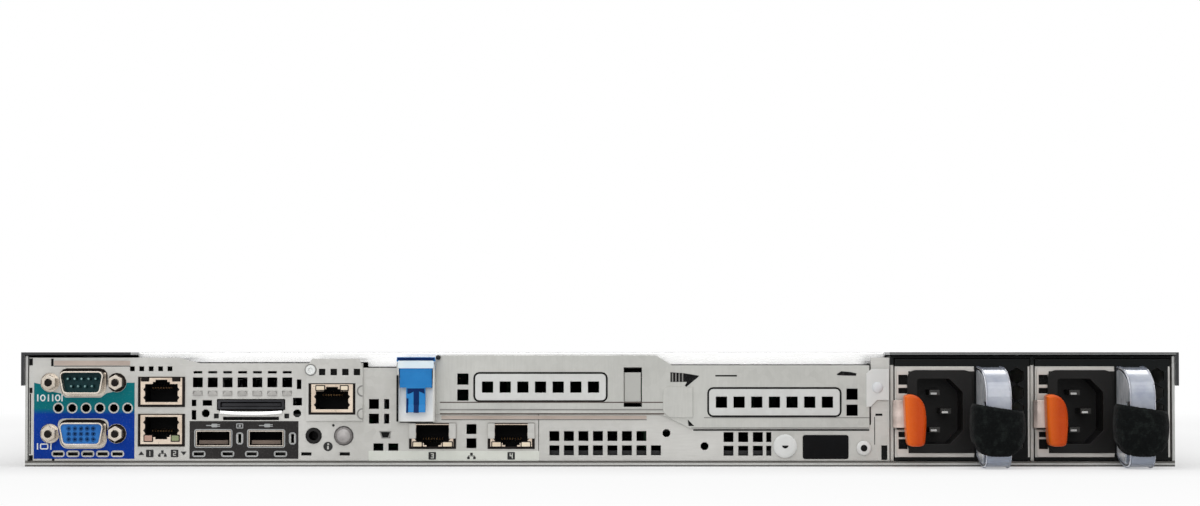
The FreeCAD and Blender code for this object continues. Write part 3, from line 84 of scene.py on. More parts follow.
studio = {"ambient": 0.3, "floorGlow": (0.3, 0.8, 1.0), "footprint": (0.217, 0.2965, 0.0), "fadeNear": 0.1,
          "fadeFar": (0.14, 0.5), "floorSize": 24.0,
          "floorTint": paint(238, 238, 238),
          "lamps": (("topLamp", (0.0, -0.55, 1.6), (0.0, -0.1, 0.0), 2.6, 1.4, 19.0),
                    ("frontLamp", (-0.5, -2.3, 0.9), (0.0, -0.3, 0.02), 2.0, 1.2, 14.0),
                    ("farLamp", (0.9, 2.1, 1.2), (0.0, 0.3, 0.02), 2.0, 1.2, 14.0))}


def setStudio():
    world = bpy.data.worlds.new("studioWorld")
    world.use_nodes = True
    tree = world.node_tree
    tree.nodes.clear()
    level = addNode(tree, "ShaderNodeMapRange", {"To Min": studio["ambient"], "To Max": 1.0},
                    {"Value": seenShare(tree)})
    glow = addNode(tree, "ShaderNodeBackground", {"Color": (1.0, 1.0, 1.0, 1.0)},
                   {"Strength": level.outputs["Result"]})
    addNode(tree, "ShaderNodeOutputWorld", feeds={"Surface": glow.outputs[0]})
    bpy.context.scene.world = world

    half = studio["floorSize"] / 2
    mesh = bpy.data.meshes.new("studioFloor")
    mesh.from_pydata([(-half, -half, 0), (half, -half, 0), (half, half, 0), (-half, half, 0)], [],
                     [(0, 1, 2, 3)])
    floor = bpy.data.objects.new("studioFloor", mesh)
    bpy.context.collection.objects.link(floor)
    finish = bpy.data.materials.new("floorPaper")
    finish.use_nodes = True
    tree = finish.node_tree
    tree.nodes.clear()
    paper = addNode(tree, "ShaderNodeBsdfDiffuse", {"Color": studio["floorTint"]})
    lit = addNode(tree, "ShaderNodeEmission", {"Color": (1.0, 1.0, 1.0, 1.0), "Strength": 1.0})
    place = addNode(tree, "ShaderNodeTexCoord").outputs["Object"]
    away = place  # how far outside the footprint a spot of the floor lies
    for operation, other in (("ABSOLUTE", None), ("SUBTRACT", studio["footprint"]),
                             ("MAXIMUM", (0.0, 0.0, 0.0))):
        values = {1: other} if other else None
        away = addNode(tree, "ShaderNodeVectorMath", values, {0: away}, operation=operation).outputs[0]
    away = addNode(tree, "ShaderNodeVectorMath", feeds={0: away}, operation="LENGTH").outputs["Value"]
    near, middle, far = studio["floorGlow"]
    steps = [addNode(tree, "ShaderNodeMapRange", {"From Min": a, "From Max": b, "To Min": c, "To Max": d},
                     {"Value": away})
             for a, b, c, d in ((0.0, studio["fadeNear"], near, middle),
                                (*studio["fadeFar"], 0.0, far - middle))]
    fade = addNode(tree, "ShaderNodeMath",
                   feeds={i: step.outputs["Result"] for i, step in enumerate(steps)})
    share = addNode(tree, "ShaderNodeMath", feeds={0: fade.outputs[0], 1: seenShare(tree)},
                    operation="MULTIPLY")
    mixed = addNode(tree, "ShaderNodeMixShader",
                    feeds={0: share.outputs[0], 1: paper.outputs[0], 2: lit.outputs[0]})
    addNode(tree, "ShaderNodeOutputMaterial", feeds={"Surface": mixed.outputs[0]})
    mesh.materials.append(finish)
    for name, place, aim, width, depth, power in studio["lamps"]:
        lamp = bpy.data.lights.new(name, "AREA")
        lamp.shape = "RECTANGLE"
        lamp.size = width
        lamp.size_y = depth
        lamp.energy = power
        holder = bpy.data.objects.new(name, lamp)
        holder.location = place
        holder.rotation_euler = (Vector(aim) - Vector(place)).to_track_quat("-Z", "Y").to_euler()
        bpy.context.collection.objects.link(holder)


setStudio()
print("camera, floor and lamps set")


# small helpers that every finish below is made from
def startFinish(name):
    finish = bpy.data.materials.new(name)
    finish.use_nodes = True
    tree = finish.node_tree
    tree.nodes.clear()
    shader = addNode(tree, "ShaderNodeBsdfPrincipled")
    addNode(tree, "ShaderNodeOutputMaterial", feeds={"Surface": shader.outputs[0]})
    place = addNode(tree, "ShaderNodeTexCoord").outputs["Object"]
    return finish, tree, shader, place


def setSocket(tree, socket, value):  # a number or colour is set, a socket is linked
    if isinstance(value, bpy.types.NodeSocket):
        tree.links.new(value, socket)
    else:
        socket.default_value = value


def mapped(tree, place, scale, turn=(0.0, 0.0, 0.0)):
    return addNode(tree, "ShaderNodeMapping", {"Scale": scale, "Rotation": turn},
                   {"Vector": place}).outputs[0]


def noise(tree, place, scale, detail=4.0, rough=0.55):
    return addNode(tree, "ShaderNodeTexNoise", {"Scale": scale, "Detail": detail, "Roughness": rough},
                   {"Vector": place}).outputs["Fac"]


def spread(tree, value, low, high, start=0.3, end=0.7):
    limits = {"From Min": start, "From Max": end, "To Min": low, "To Max": high}
    return addNode(tree, "ShaderNodeMapRange", limits, {"Value": value}).outputs["Result"]


def blendTint(tree, share, first, second):
    mix = addNode(tree, "ShaderNodeMix", data_type="RGBA")
    for index, value in ((0, share), (6, first), (7, second)):
        setSocket(tree, mix.inputs[index], value)
    return mix.outputs[2]


def blendNumber(tree, share, first, second):
    mix = addNode(tree, "ShaderNodeMix", data_type="FLOAT")
    for index, value in ((0, share), (2, first), (3, second)):
        setSocket(tree, mix.inputs[index], value)
    return mix.outputs[0]


def within(tree, place, zone):  # 1 inside a box of limits in mm, such as {"x": (-10, None), "z": (None, 4)}
    parts = addNode(tree, "ShaderNodeSeparateXYZ", feeds={0: place})
    share = None
    for axis, limits in zone.items():
        for limit, test in zip(limits, ("GREATER_THAN", "LESS_THAN")):
            if limit is None:
                continue
            step = addNode(tree, "ShaderNodeMath", {1: limit * mm}, {0: parts.outputs[axis.upper()]},
                           operation=test)
            if share:
                step = addNode(tree, "ShaderNodeMath", feeds={0: step.outputs[0], 1: share},
                               operation="MULTIPLY")
            share = step.outputs[0]
    return share


def relief(tree, shader, height, strength, depth, edge=0.0):
    bump = addNode(tree, "ShaderNodeBump", {"Strength": strength, "Distance": depth}, {"Height": height})
    if edge:  # softened edges catch the light as folded sheet and moulded plastic do
        soft = addNode(tree, "ShaderNodeBevel", {"Radius": edge * mm}, samples=4)
        tree.links.new(soft.outputs[0], bump.inputs["Normal"])
    tree.links.new(bump.outputs[0], shader.inputs["Normal"])


# sheet steel: clouded zinc with fine rolling grain, and another tint inside each box in zones
def sheetFinish(name, tints, metal=0.3, rough=0.3, grain=(900, 900, 900), cloud=30, flake=900, streak=0.4,
                flakes=0.3, bump=0.08, edge=0.25, zones=()):
    finish, tree, shader, place = startFinish(name)
    light, dark = (paint(*tint) for tint in tints)
    lines = noise(tree, mapped(tree, place, grain), 1.0, 5.0, 0.6)
    patches = addNode(tree, "ShaderNodeTexVoronoi", {"Scale": flake}, {"Vector": place})
    patch = addNode(tree, "ShaderNodeSeparateColor", feeds={0: patches.outputs["Color"]}).outputs[0]
    tint = blendTint(tree, spread(tree, noise(tree, place, cloud, 5.0), 0.0, 1.0), dark, light)
    tint = blendTint(tree, spread(tree, lines, 0.0, streak), tint, dark)
    tint = blendTint(tree, spread(tree, patch, 0.0, flakes, 0.0, 1.0), tint, light)
    shine = 0.5
    roughness = spread(tree, lines, rough - 0.06, rough + 0.1)
    for zone, shade in zones:
        share = within(tree, place, zone)
        tint = blendTint(tree, share, tint, paint(*shade))
        metal = blendNumber(tree, share, metal, 0.0)
        shine = blendNumber(tree, share, shine, 0.12)
        roughness = blendNumber(tree, share, roughness, 0.6)
    for socket, value in (("Specular IOR Level", shine), ("Base Color", tint), ("Metallic", metal),
                          ("Roughness", roughness)):
        setSocket(tree, shader.inputs[socket], value)
    relief(tree, shader, lines, bump, 0.0002, edge)
    return finish


sheets = {
    # the wall's inner face is painted near black as shade behind its vents
    "zincWall": dict(tints=((208, 207, 203), (184, 183, 178)), metal=0.25, rough=0.42,
                     grain=(160, 900, 1500), cloud=26, flake=420, streak=0.35,
                     zones=(({"y": (rearY + 0.75, None)}, (30, 30, 31)),)),
    # inside the cage is painted darker as shade; the front behind the blue latch is painted lighter as a
    # highlight
    "zincCage": dict(tints=((200, 200, 195), (175, 175, 170)), metal=0.25, rough=0.4,
                     grain=(1400, 900, 130), cloud=24, flake=400, zones=(
        ({"y": (rearY + 0.3, None)}, (120, 119, 117)),
        ({"x": (-75.4, -62.2), "z": (17.0, 40.0), "y": (None, rearY + 0.3)}, (246, 246, 243)))),
    # the fillers are painted near black behind their front faces as shade in the gaps round them (the second
    # zone is a plain grey tab)
    "zincFiller": dict(tints=((214, 215, 213), (196, 196, 193)), metal=0.25, rough=0.36,
                       grain=(900, 900, 160), flake=420, streak=0.3, bump=0.06, zones=(
        ({"y": (rearY - 0.35, None)}, (34, 34, 35)),
        ({"x": (3.6, 39.4), "y": (None, rearY + 0.5)}, (190, 190, 185)))),
    # the tray's rear foot is painted dark as contact shadow, and a band above it as shade in the seam
    "zincTray": dict(tints=((198, 198, 195), (176, 176, 173)), metal=0.35, rough=0.4, grain=(900, 90, 900),
                     cloud=14, flake=330, flakes=0.35, zones=(
        ({"y": (None, rearY + 0.5), "z": (None, 0.6)}, (104, 103, 101)),
        ({"y": (None, rearY + 0.5), "z": (1.3, 2.2)}, (118, 116, 112)))),
    # the cover's rear edge is painted dark as shade under its hem, with a lighter painted highlight line over
    # the supplies
    "coverSteel": dict(tints=((196, 197, 197), (178, 179, 180)), rough=0.5, grain=(900, 70, 900), cloud=10,
                       flake=300, streak=0.45, zones=(
        ({"y": (None, -297.3)}, (66, 66, 68)),
        ({"x": (104.0, 216.0), "y": (None, -297.3), "z": (41.95, 42.4)}, (136, 138, 136)))),
    # the bay is painted dark inside and along its rear lip as shade
    "bayZinc": dict(tints=((206, 205, 200), (180, 179, 174)), rough=0.42, grain=(900, 90, 900), cloud=22,
                    flake=400, zones=(
        ({"y": (rearY + 6.0, None)}, (40, 42, 42)),
        ({"z": (38.0, None), "y": (None, rearY + 6.0)}, (30, 33, 33)))),
    "earSteel": dict(tints=((196, 197, 197), (178, 179, 180)), rough=0.46, grain=(900, 900, 90), flake=330,
                     zones=(({"y": (311.2, None)}, (40, 41, 43)),)),
    "nickel": dict(tints=((220, 212, 200), (170, 158, 144)), metal=0.8, rough=0.22, grain=(700, 900, 900),
                   cloud=120, streak=0.1, flakes=0.05, bump=0.02, edge=0.2),
    # the sleeves are painted near black inside as shade
    "usbSleeve": dict(tints=((208, 200, 190), (170, 160, 148)), metal=0.75, rough=0.24,
                      grain=(700, 900, 900), cloud=160, streak=0.3, flakes=0.2, bump=0.05, edge=0.2,
                      zones=(({"y": (rearY - 0.3, None)}, (20, 19, 19)),)),
    # the shells are painted dark behind the wall's face at their tops and right sides, as shade in the gaps
    # round them
    "shellNickel": dict(tints=((226, 218, 206), (190, 178, 164)), metal=0.8, rough=0.22,
                        grain=(700, 900, 900), cloud=120, streak=0.15, flakes=0.1, bump=0.03, edge=0.2,
                        zones=(
        ({"y": (rearY, None), "z": (35.2, None)}, (34, 28, 26)),
        ({"y": (rearY, None), "z": (16.0, 22.0)}, (34, 28, 26)),
        ({"y": (rearY, None), "x": (-185.5, None)}, (46, 38, 35)))),
    # the shields are painted near black behind their fronts as shade inside the jacks
    "jackShield": dict(tints=((226, 211, 194), (194, 175, 156)), metal=0.6, grain=(700, 900, 900),
                       cloud=150, streak=0.3, flakes=0.2, bump=0.05, edge=0.2,
                       zones=(({"y": (rearY - 0.1, None)}, (22, 21, 22)),)),
    "screwZinc": dict(tints=((232, 234, 232), (206, 208, 206)), metal=0.5, cloud=200, flake=700, streak=0.3,
                      flakes=0.2, bump=0.06, edge=0.3),
    # the blades are darkened as painted shade deep inside the inlet
    "bladeSteel": dict(tints=((58, 57, 55), (40, 39, 38)), metal=0.6, cloud=300, streak=0.3, flakes=0.2,
                       bump=0.05, edge=0.3),
    "finAlloy": dict(tints=((214, 216, 218), (188, 190, 192)), metal=0.8, rough=0.34, grain=(900, 60, 900),
                     cloud=40, flake=300, flakes=0.2, bump=0.06),
    "diskAlloy": dict(tints=((196, 198, 200), (170, 172, 175)), metal=0.7, rough=0.36, grain=(60, 900, 900),
                      cloud=18, flake=240),
    # near white as a painted highlight on the cover's skirt and the reader's spring
    "brightZinc": dict(tints=((252, 252, 251), (240, 240, 239)), metal=1.0, rough=0.22,
                       grain=(90, 900, 900), flake=300, streak=0.2, flakes=0.1, bump=0.03),
    "armSteel": dict(tints=((226, 212, 204), (150, 134, 126)), metal=0.8, grain=(1800, 900, 60), cloud=160,
                     flake=300, streak=0.5, flakes=0.1, bump=0.05),
    "contactWire": dict(tints=((150, 120, 84), (112, 84, 54)), metal=0.8, cloud=300, streak=0.2, flakes=0.1,
                        bump=0.02, edge=0.05),
}
supplyX = (135.9, 188.5)
# the rear end of each case is painted dark along its top and its foot as shade in the gaps, and is black
# behind the handle
for number, x in enumerate(supplyX, 1):
    sheets["supplyCase%d" % number] = dict(
        tints=((208, 206, 201), (184, 182, 177)), metal=0.35, rough=0.42, grain=(900, 90, 900), cloud=20,
        flake=380, zones=(
            ({"y": (None, rearY + 2.0), "z": (37.5, None)}, (20, 22, 22)),
            ({"y": (None, rearY + 2.0), "z": (None, 3.5)}, (20, 22, 22)),
            ({"x": (x + 4.4, x + 24.6), "y": (None, rearY + 2.0)}, (20, 22, 22))))


# moulded plastic: fine spark-eroded grain, faint cloudiness, and another finish inside each box in zones
def mouldFinish(name, tints, rough, shine=0.5, cloud=90, bump=0.12, edge=0.3, highlightSweep=None, zones=(),
                sockets=()):
    finish, tree, shader, place = startFinish(name)
    light, dark = (paint(*tint) for tint in tints)
    grain = noise(tree, place, 2400.0, 2.0, 0.5)
    tint = blendTint(tree, spread(tree, noise(tree, place, cloud, 4.0), 0.0, 1.0), dark, light)
    if highlightSweep:  # a painted highlight down one side that fades out along X
        start, end, shade = highlightSweep
        across = addNode(tree, "ShaderNodeSeparateXYZ", feeds={0: place}).outputs["X"]
        tint = blendTint(tree, spread(tree, across, 0.8, 0.0, start * mm, end * mm), tint, paint(*shade))
    roughness = spread(tree, grain, rough - 0.07, rough + 0.07)
    metal = 0.0
    for zone, shade, zoneMetal in zones:
        share = within(tree, place, zone)
        tint = blendTint(tree, share, tint, paint(*shade))
        metal = blendNumber(tree, share, metal, zoneMetal)
        roughness = blendNumber(tree, share, roughness, 0.34)
    for socket, value in (("Base Color", tint), ("Metallic", metal), ("Roughness", roughness),
                          ("Specular IOR Level", shine), *sockets):
        setSocket(tree, shader.inputs[socket], value)
    relief(tree, shader, grain, bump, 0.0001, edge)
    return finish


moulds = {
    "blackMould": dict(tints=((44, 42, 42), (32, 31, 31)), rough=0.42, shine=0.18),
    "inletBlack": dict(tints=((24, 23, 22), (16, 15, 15)), rough=0.36, shine=0.18),
    "readerBlack": dict(tints=((62, 62, 66), (42, 42, 46)), rough=0.35, shine=0.18),
    "socketBlack": dict(tints=((26, 25, 25), (15, 15, 15)), rough=0.35, shine=0.18),
    # near black: painted shade in gaps and bores, and the dark lamps and their rims
    "gasketBlack": dict(tints=((30, 24, 22), (18, 15, 14)), rough=0.6, shine=0.12),
    "plateBlack": dict(tints=((18, 18, 20), (9, 9, 10)), rough=0.5, shine=0.06),
    "fanBlack": dict(tints=((40, 40, 42), (28, 28, 30)), rough=0.45, shine=0.18),
    "bezelBlack": dict(tints=((56, 57, 60), (44, 45, 48)), rough=0.4, shine=0.25),
    "latchBlue": dict(tints=((44, 140, 210), (26, 120, 192)), rough=0.32, shine=0.2),
    # near white: a painted highlight on the blue latch's cap, and ink for the arrow on the cover's latch
    "latchShine": dict(tints=((244, 252, 255), (222, 242, 254)), rough=0.2),
    # dark blue as painted shade along the blue latch's edge, groove and creases
    "latchDeep": dict(tints=((2, 44, 104), (0, 26, 68)), rough=0.3, shine=0.1),
    "coverBlue": dict(tints=((44, 128, 204), (30, 110, 186)), rough=0.36, shine=0.25),
    # the insert is painted a darker blue behind its front as shade inside the shell
    "vgaBlue": dict(tints=((50, 122, 198), (34, 100, 176)), rough=0.4, shine=0.15,
                    zones=(({"y": (rearY - 2.4, None)}, (14, 46, 120), 0.0),)),
    # darker blue as painted shade in the monitor connector's pin holes
    "vgaDeep": dict(tints=((30, 84, 146), (16, 58, 112)), rough=0.4, shine=0.15),
    "serialTeal": dict(tints=((8, 72, 78), (2, 52, 58)), rough=0.42, shine=0.2),
    # pale teal as painted highlights on the serial connector's pin tips
    "pinTeal": dict(tints=((150, 186, 186), (104, 146, 146)), rough=0.3),
    "buttonGrey": dict(tints=((150, 146, 144), (122, 118, 117)), rough=0.3),
    "domeGrey": dict(tints=((196, 192, 190), (150, 146, 145)), rough=0.22, cloud=260),
    "leverGrey": dict(tints=((74, 76, 80), (58, 60, 64)), rough=0.4),
    "powerWhite": dict(tints=((224, 226, 228), (204, 206, 209)), rough=0.35),
    "contactGold": dict(tints=((124, 108, 96), (96, 82, 74)), rough=0.3, shine=0.3),
    "ledCream": dict(tints=((250, 236, 212), (232, 212, 184)), rough=0.25),
    "ledAmber": dict(tints=((206, 168, 150), (168, 128, 112)), rough=0.25),
    "ledGreen": dict(tints=((150, 158, 118), (112, 124, 84)), rough=0.25),
    # its lower part is painted a darker blue grey as shade
    "clearHandle": dict(tints=((222, 226, 236), (178, 186, 204)), rough=0.14, edge=0.4, cloud=130,
                        bump=0.01, zones=(({"z": (None, 7.0)}, (196, 205, 222), 0.0),),
                        sockets=(("Transmission Weight", 0.4), ("IOR", 1.46), ("Coat Weight", 0.4))),
    "clearWeb": dict(tints=((232, 236, 240), (186, 194, 200)), rough=0.2, edge=0.2, cloud=210, bump=0.01,
                     sockets=(("Coat Weight", 0.3),)),
}
# the face's left strip and ends and the lever's back are bare metal
for number, x in enumerate(supplyX, 1):
    moulds["supplyFace%d" % number] = dict(
        tints=((34, 32, 30), (24, 23, 22)), rough=0.5, shine=0.2,
        zones=(({"x": (None, x - 20.3)}, (204, 198, 192), 0.3), ({"z": (35.7, None)}, (204, 200, 195), 0.3),
               ({"z": (None, 5.0)}, (204, 200, 195), 0.3)))
    # the lever's left side carries a painted highlight
    moulds["leverOrange%d" % number] = dict(
        tints=((210, 78, 8), (198, 68, 4)), rough=0.3, shine=0.2,
        highlightSweep=(x - 23.0, x - 18.0, (250, 120, 32)),
        zones=(({"y": (rearY - 4.6, None)}, (205, 198, 190), 0.7),))
drivePitch = 106.6
driveX = [(number - 2.5) * drivePitch for number in range(1, 5)]
for number, x in enumerate(driveX, 1):  # the disk in each carrier is bare metal
    moulds["carrier%d" % number] = dict(
        tints=((48, 49, 51), (36, 37, 39)), rough=0.46, shine=0.18,
        zones=(({"x": (x - 50.8, x + 50.8), "y": (None, 302.4), "z": (1.5, 27.8)}, (168, 170, 173), 0.5),))


# printed films and inks, with another ink above a soft seam where upper is given
def filmFinish(name, tints, rough=0.5, shine=0.25, upper=None):
    finish, tree, shader, place = startFinish(name)
    light, dark = (paint(*tint) for tint in tints)
    speck = noise(tree, place, 1800.0, 2.0)
    tint = blendTint(tree, spread(tree, noise(tree, place, 70.0, 3.0), 0.0, 1.0), dark, light)
    if upper:
        ink, low, high = upper
        height = addNode(tree, "ShaderNodeSeparateXYZ", feeds={0: place}).outputs["Z"]
        tint = blendTint(tree, spread(tree, height, 0.0, 1.0, low * mm, high * mm), tint, paint(*ink))
    tint = blendTint(tree, spread(tree, speck, 0.0, 0.06, 0.55, 0.85), tint, paint(240, 240, 240))
    setSocket(tree, shader.inputs["Base Color"], tint)
    setSocket(tree, shader.inputs["Roughness"], spread(tree, speck, rough - 0.05, rough + 0.08))
    shader.inputs["Specular IOR Level"].default_value = shine
    relief(tree, shader, speck, 0.05, 0.0001, 0.1)
    return finish


films = {
    "portFilm": dict(tints=((2, 62, 164), (0, 48, 142)), rough=0.45, shine=0.08,
                     upper=((0, 112, 120), 19.6, 21.8)),
    "blackFilm": dict(tints=((46, 44, 43), (32, 30, 30)), shine=0.15),
    "paleFilm": dict(tints=((226, 228, 220), (214, 217, 208))),
    "whiteInk": dict(tints=((238, 240, 240), (220, 224, 226))),
    # dark print, and also painted shade lines on the wall
    "darkInk": dict(tints=((40, 40, 40), (26, 26, 26))),
    "greyInk": dict(tints=((176, 178, 178), (160, 162, 162))),
    # near black sheets put in holes and gaps as painted shade
    "ventBlack": dict(tints=((22, 22, 22), (12, 12, 12)), rough=0.7, shine=0.08),
    "shadeGrey": dict(tints=((150, 149, 146), (128, 127, 124)), rough=0.6),
    "softGrey": dict(tints=((186, 184, 180), (170, 168, 164)), rough=0.6),
    "pinkShade": dict(tints=((206, 191, 181), (190, 174, 163))),
    # brown lines of painted shade under the cage's edges
    "creaseBrown": dict(tints=((104, 94, 88), (76, 68, 63)), rough=0.6),
    # white plates and caps, and painted glints on the supplies' blade tips
    "plateWhite": dict(tints=((228, 229, 227), (213, 214, 212)), rough=0.4),
}

# circuit board: solder mask with buried tracks, turned a little lighter along them
boards = {"boardGreen": dict(mask=(18, 84, 50), track=(34, 116, 72), pad=(196, 178, 120),
                             shade=(16, 17, 17), shadeTo=rearY + 40.0)}


def boardFinish(name, mask, track, pad, shade, shadeTo):
    finish, tree, shader, place = startFinish(name)
    tracks = {"Scale": 60.0, "Mortar Size": 0.02, "Color1": (0, 0, 0, 1), "Color2": (0, 0, 0, 1),
              "Mortar": (1, 1, 1, 1)}
    brick = addNode(tree, "ShaderNodeTexBrick", tracks, {"Vector": place})
    drift = noise(tree, place, 40.0, 5.0)
    pads = addNode(tree, "ShaderNodeTexVoronoi", {"Scale": 190.0}, {"Vector": place}).outputs["Distance"]
    tint = blendTint(tree, spread(tree, drift, 0.0, 0.6), paint(*mask), paint(*track))
    tint = blendTint(tree, brick.outputs["Color"], tint, paint(*track))
    tint = blendTint(tree, spread(tree, pads, 1.0, 0.0, 0.1, 0.14), tint, paint(*pad))
    # painted shade where it lies under the rear wall
    tint = blendTint(tree, within(tree, place, {"y": (None, shadeTo)}), tint, paint(*shade))
    setSocket(tree, shader.inputs["Base Color"], tint)
    setSocket(tree, shader.inputs["Roughness"], spread(tree, drift, 0.3, 0.45))
    relief(tree, shader, brick.outputs["Fac"], 0.1, 0.0001, 0.1)
    return finish


# napped tape of the straps: dark pile with worn spots and faint rows
def strapFinish(name, pile, wear, rows):
    finish, tree, shader, place = startFinish(name)
    nap = noise(tree, place, 1500.0, 4.0, 0.7)
    lines = addNode(tree, "ShaderNodeTexWave", {"Scale": 420.0, "Distortion": 6.0, "Detail": 2.0},
                    {"Vector": place}, bands_direction="Z").outputs["Fac"]
    worn = noise(tree, place, 330.0, 4.0, 0.7)
    tint = blendTint(tree, spread(tree, nap, 0.0, 1.0), paint(*pile[0]), paint(*pile[1]))
    tint = blendTint(tree, spread(tree, worn, 0.0, 1.0, 0.5, 0.75), tint, paint(*wear))
    tint = blendTint(tree, spread(tree, lines, 0.0, 0.35, 0.4, 1.0), tint, paint(*rows))
    for socket, value in (("Base Color", tint), ("Roughness", 0.9), ("Sheen Weight", 0.05),
                          ("Sheen Roughness", 0.5), ("Specular IOR Level", 0.08)):
        setSocket(tree, shader.inputs[socket], value)
    relief(tree, shader, nap, 0.7, 0.0006)
    return finish


straps = {"strapPile": dict(pile=((4, 6, 6), (17, 20, 20)), wear=(38, 43, 41), rows=(8, 8, 9))}
finishes = {}
for make, looks in ((sheetFinish, sheets), (mouldFinish, moulds), (filmFinish, films),
                    (boardFinish, boards), (strapFinish, straps)):
    finishes.update({name: make(name, **look) for name, look in looks.items()})

nodesOf = {
    "zincTray": "chassis_tray", "coverSteel": "top_cover drive_cage", "coverBlue": "cover_latch",
    "zincWall": "rear_panel management_plate", "screwZinc": "panel_screws", "zincCage": "riser_cage",
    "latchBlue": "card_latch", "zincFiller": "slot_fillers", "shellNickel": "dsub_shells",
    "serialTeal": "serial_insert", "vgaBlue": "vga_insert", "nickel": "jack_screws",
    "jackShield": "lan_jack_stack lan_jacks", "usbSleeve": "usb_ports", "contactGold": "usb_tongues",
    "boardGreen": "management_card motherboard memory_modules riser_boards backplane",
    "readerBlack": "media_card_slot", "socketBlack": "status_jack", "buttonGrey": "id_button",
    "bayZinc": "psu_cage", "finAlloy": "heat_sinks", "earSteel": "rack_ears", "powerWhite": "power_button",
    "fanBlack": "fan_frames fan_rotor_1 fan_rotor_2 fan_rotor_3 fan_rotor_4 fan_rotor_5",
    "leverGrey": "drive_1_handle drive_2_handle drive_3_handle drive_4_handle",
}
for number in range(1, 5):
    nodesOf["carrier%d" % number] = "drive_%d" % number
finishOf = {node: finish for finish, names in nodesOf.items() for node in names.split()}
for number in (1, 2):
    for part, finish in (("case", "supplyCase%d" % number), ("face", "supplyFace%d" % number),
                         ("inlet", "inletBlack"), ("blades", "bladeSteel"),
                         ("latch", "leverOrange%d" % number), ("handle", "clearHandle"),
                         ("strap", "blackMould"), ("fan_rotor", "fanBlack")):
        finishOf["psu_%d_%s" % (number, part)] = finish
for node, finish in finishOf.items():
    for slot in nodes[node].material_slots:
        slot.material = finishes[finish]
print("finishes on", len(finishOf), "nodes")


filmThick = 0.08  # a film that draws a shadow, a sign or a gap
foldThick = 0.06  # a film that draws a folded band or a strip


# helpers for added pieces: sizes are written in mm and meshes are kept in metres
def addPiece(name, mesh, finish, body="chassis"):
    piece = bpy.data.objects.new(name, mesh)
    bpy.context.collection.objects.link(piece)
    mesh.materials.clear()
    mesh.materials.append(finishes[finish])
    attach(piece, body)
    return piece


def tidyMesh(mesh, smooth=False):
    work = bmesh.new()
    work.from_mesh(mesh)
    bmesh.ops.remove_doubles(work, verts=work.verts, dist=1e-6)
    bmesh.ops.recalc_face_normals(work, faces=work.faces)
    for face in work.faces:
        face.smooth = smooth
    work.to_mesh(mesh)
    work.free()
    return mesh


def meshFrom(name, points, faces, smooth=False):
    mesh = bpy.data.meshes.new(name)
    mesh.from_pydata(points, [], faces)
    return tidyMesh(mesh, smooth)


# a tube through rings of count points, closed at both ends
def loftMesh(name, points, count, smooth=False):
    last = len(points) // count - 1
    faces = [(i * count + j, i * count + (j + 1) % count, (i + 1) * count + (j + 1) % count,
              (i + 1) * count + j) for i in range(last) for j in range(count)]
    faces.append(tuple(range(count))[::-1])
    faces.append(tuple(last * count + j for j in range(count)))
    return meshFrom(name, points, faces, smooth)


# outlines: arcs and discs, bars, rounded bars, rings and frames
def arc(x, z, radius, angles, tall=None):
    turns = [math.radians(angle) for angle in angles]
    return [(x + radius * math.cos(a), z + (tall or radius) * math.sin(a)) for a in turns]


def disc(x, z, radius, sides=24, tall=None):
    return arc(x, z, radius, [360.0 * i / sides for i in range(sides)], tall)


def arcBand(x, z, outer, inner, angles):
    return arc(x, z, outer, angles) + arc(x, z, inner, reversed(angles))


def bar(x, z, width, height):
    return [(x + u * width / 2, z + v * height / 2) for u, v in ((-1, -1), (1, -1), (1, 1), (-1, 1))]


def bars(rows):
    return [bar(*row) for row in rows]


def roundRect(x, z, width, height, radius, chords=5):
    corners = []
    for u, v, start in ((1, 1, 0.0), (-1, 1, 90.0), (-1, -1, 180.0), (1, -1, 270.0)):
        corners += arc(x + u * (width / 2 - radius), z + v * (height / 2 - radius), radius,
                       [start + 90.0 * step / chords for step in range(chords + 1)])
    return corners


def ringMark(x, z, radius, tall, line):
    return [disc(x, z, radius, tall=tall), disc(x, z, radius - line, tall=tall - line)]


def frameMark(x, z, width, height, line, radius):
    return [roundRect(x, z, width, height, radius),
            roundRect(x, z, width - 2 * line, height - 2 * line, max(radius - line, 0.05))]


# a plate from filled outlines, where an outline inside another one is a hole: it stands across the machine
# with outlines in (x, z), lies flat with (x, y) or stands along it with (y, z), and grows from its base
lieWays = {"across": ((0.0, 1.0, 0.0), Matrix.Rotation(math.pi / 2, 4, "X")),
           "flat": ((0.0, 0.0, 1.0), Matrix.Identity(4)),
           "along": ((1.0, 0.0, 0.0), Matrix(((0, 0, 1, 0), (1, 0, 0, 0), (0, 1, 0, 0), (0, 0, 0, 1))))}


def platePiece(name, outlines, base, thick, finish, bevel=0.0, body="chassis", lie="across"):
    curve = bpy.data.curves.new(name, "CURVE")
    curve.dimensions = "2D"
    curve.fill_mode = "BOTH"
    curve.extrude = thick * mm / 2 - bevel * mm
    curve.bevel_depth = bevel * mm
    curve.bevel_resolution = 3
    curve.offset = -bevel * mm
    for outline in outlines:
        spline = curve.splines.new("POLY")
        spline.points.add(len(outline) - 1)
        for point, (x, z) in zip(spline.points, outline):
            point.co = (x * mm, z * mm, 0.0, 1.0)
        spline.use_cyclic_u = True
    holder = bpy.data.objects.new(name + "Outline", curve)
    bpy.context.collection.objects.link(holder)
    bpy.context.view_layer.update()
    mesh = bpy.data.meshes.new_from_object(holder.evaluated_get(bpy.context.evaluated_depsgraph_get()))
    bpy.data.objects.remove(holder)
    bpy.data.curves.remove(curve)
    mesh.name = name
    normal, turn = lieWays[lie]
    mesh.transform(Matrix.Translation(Vector(normal) * (base + thick / 2) * mm) @ turn)
    return addPiece(name, tidyMesh(mesh), finish, body)


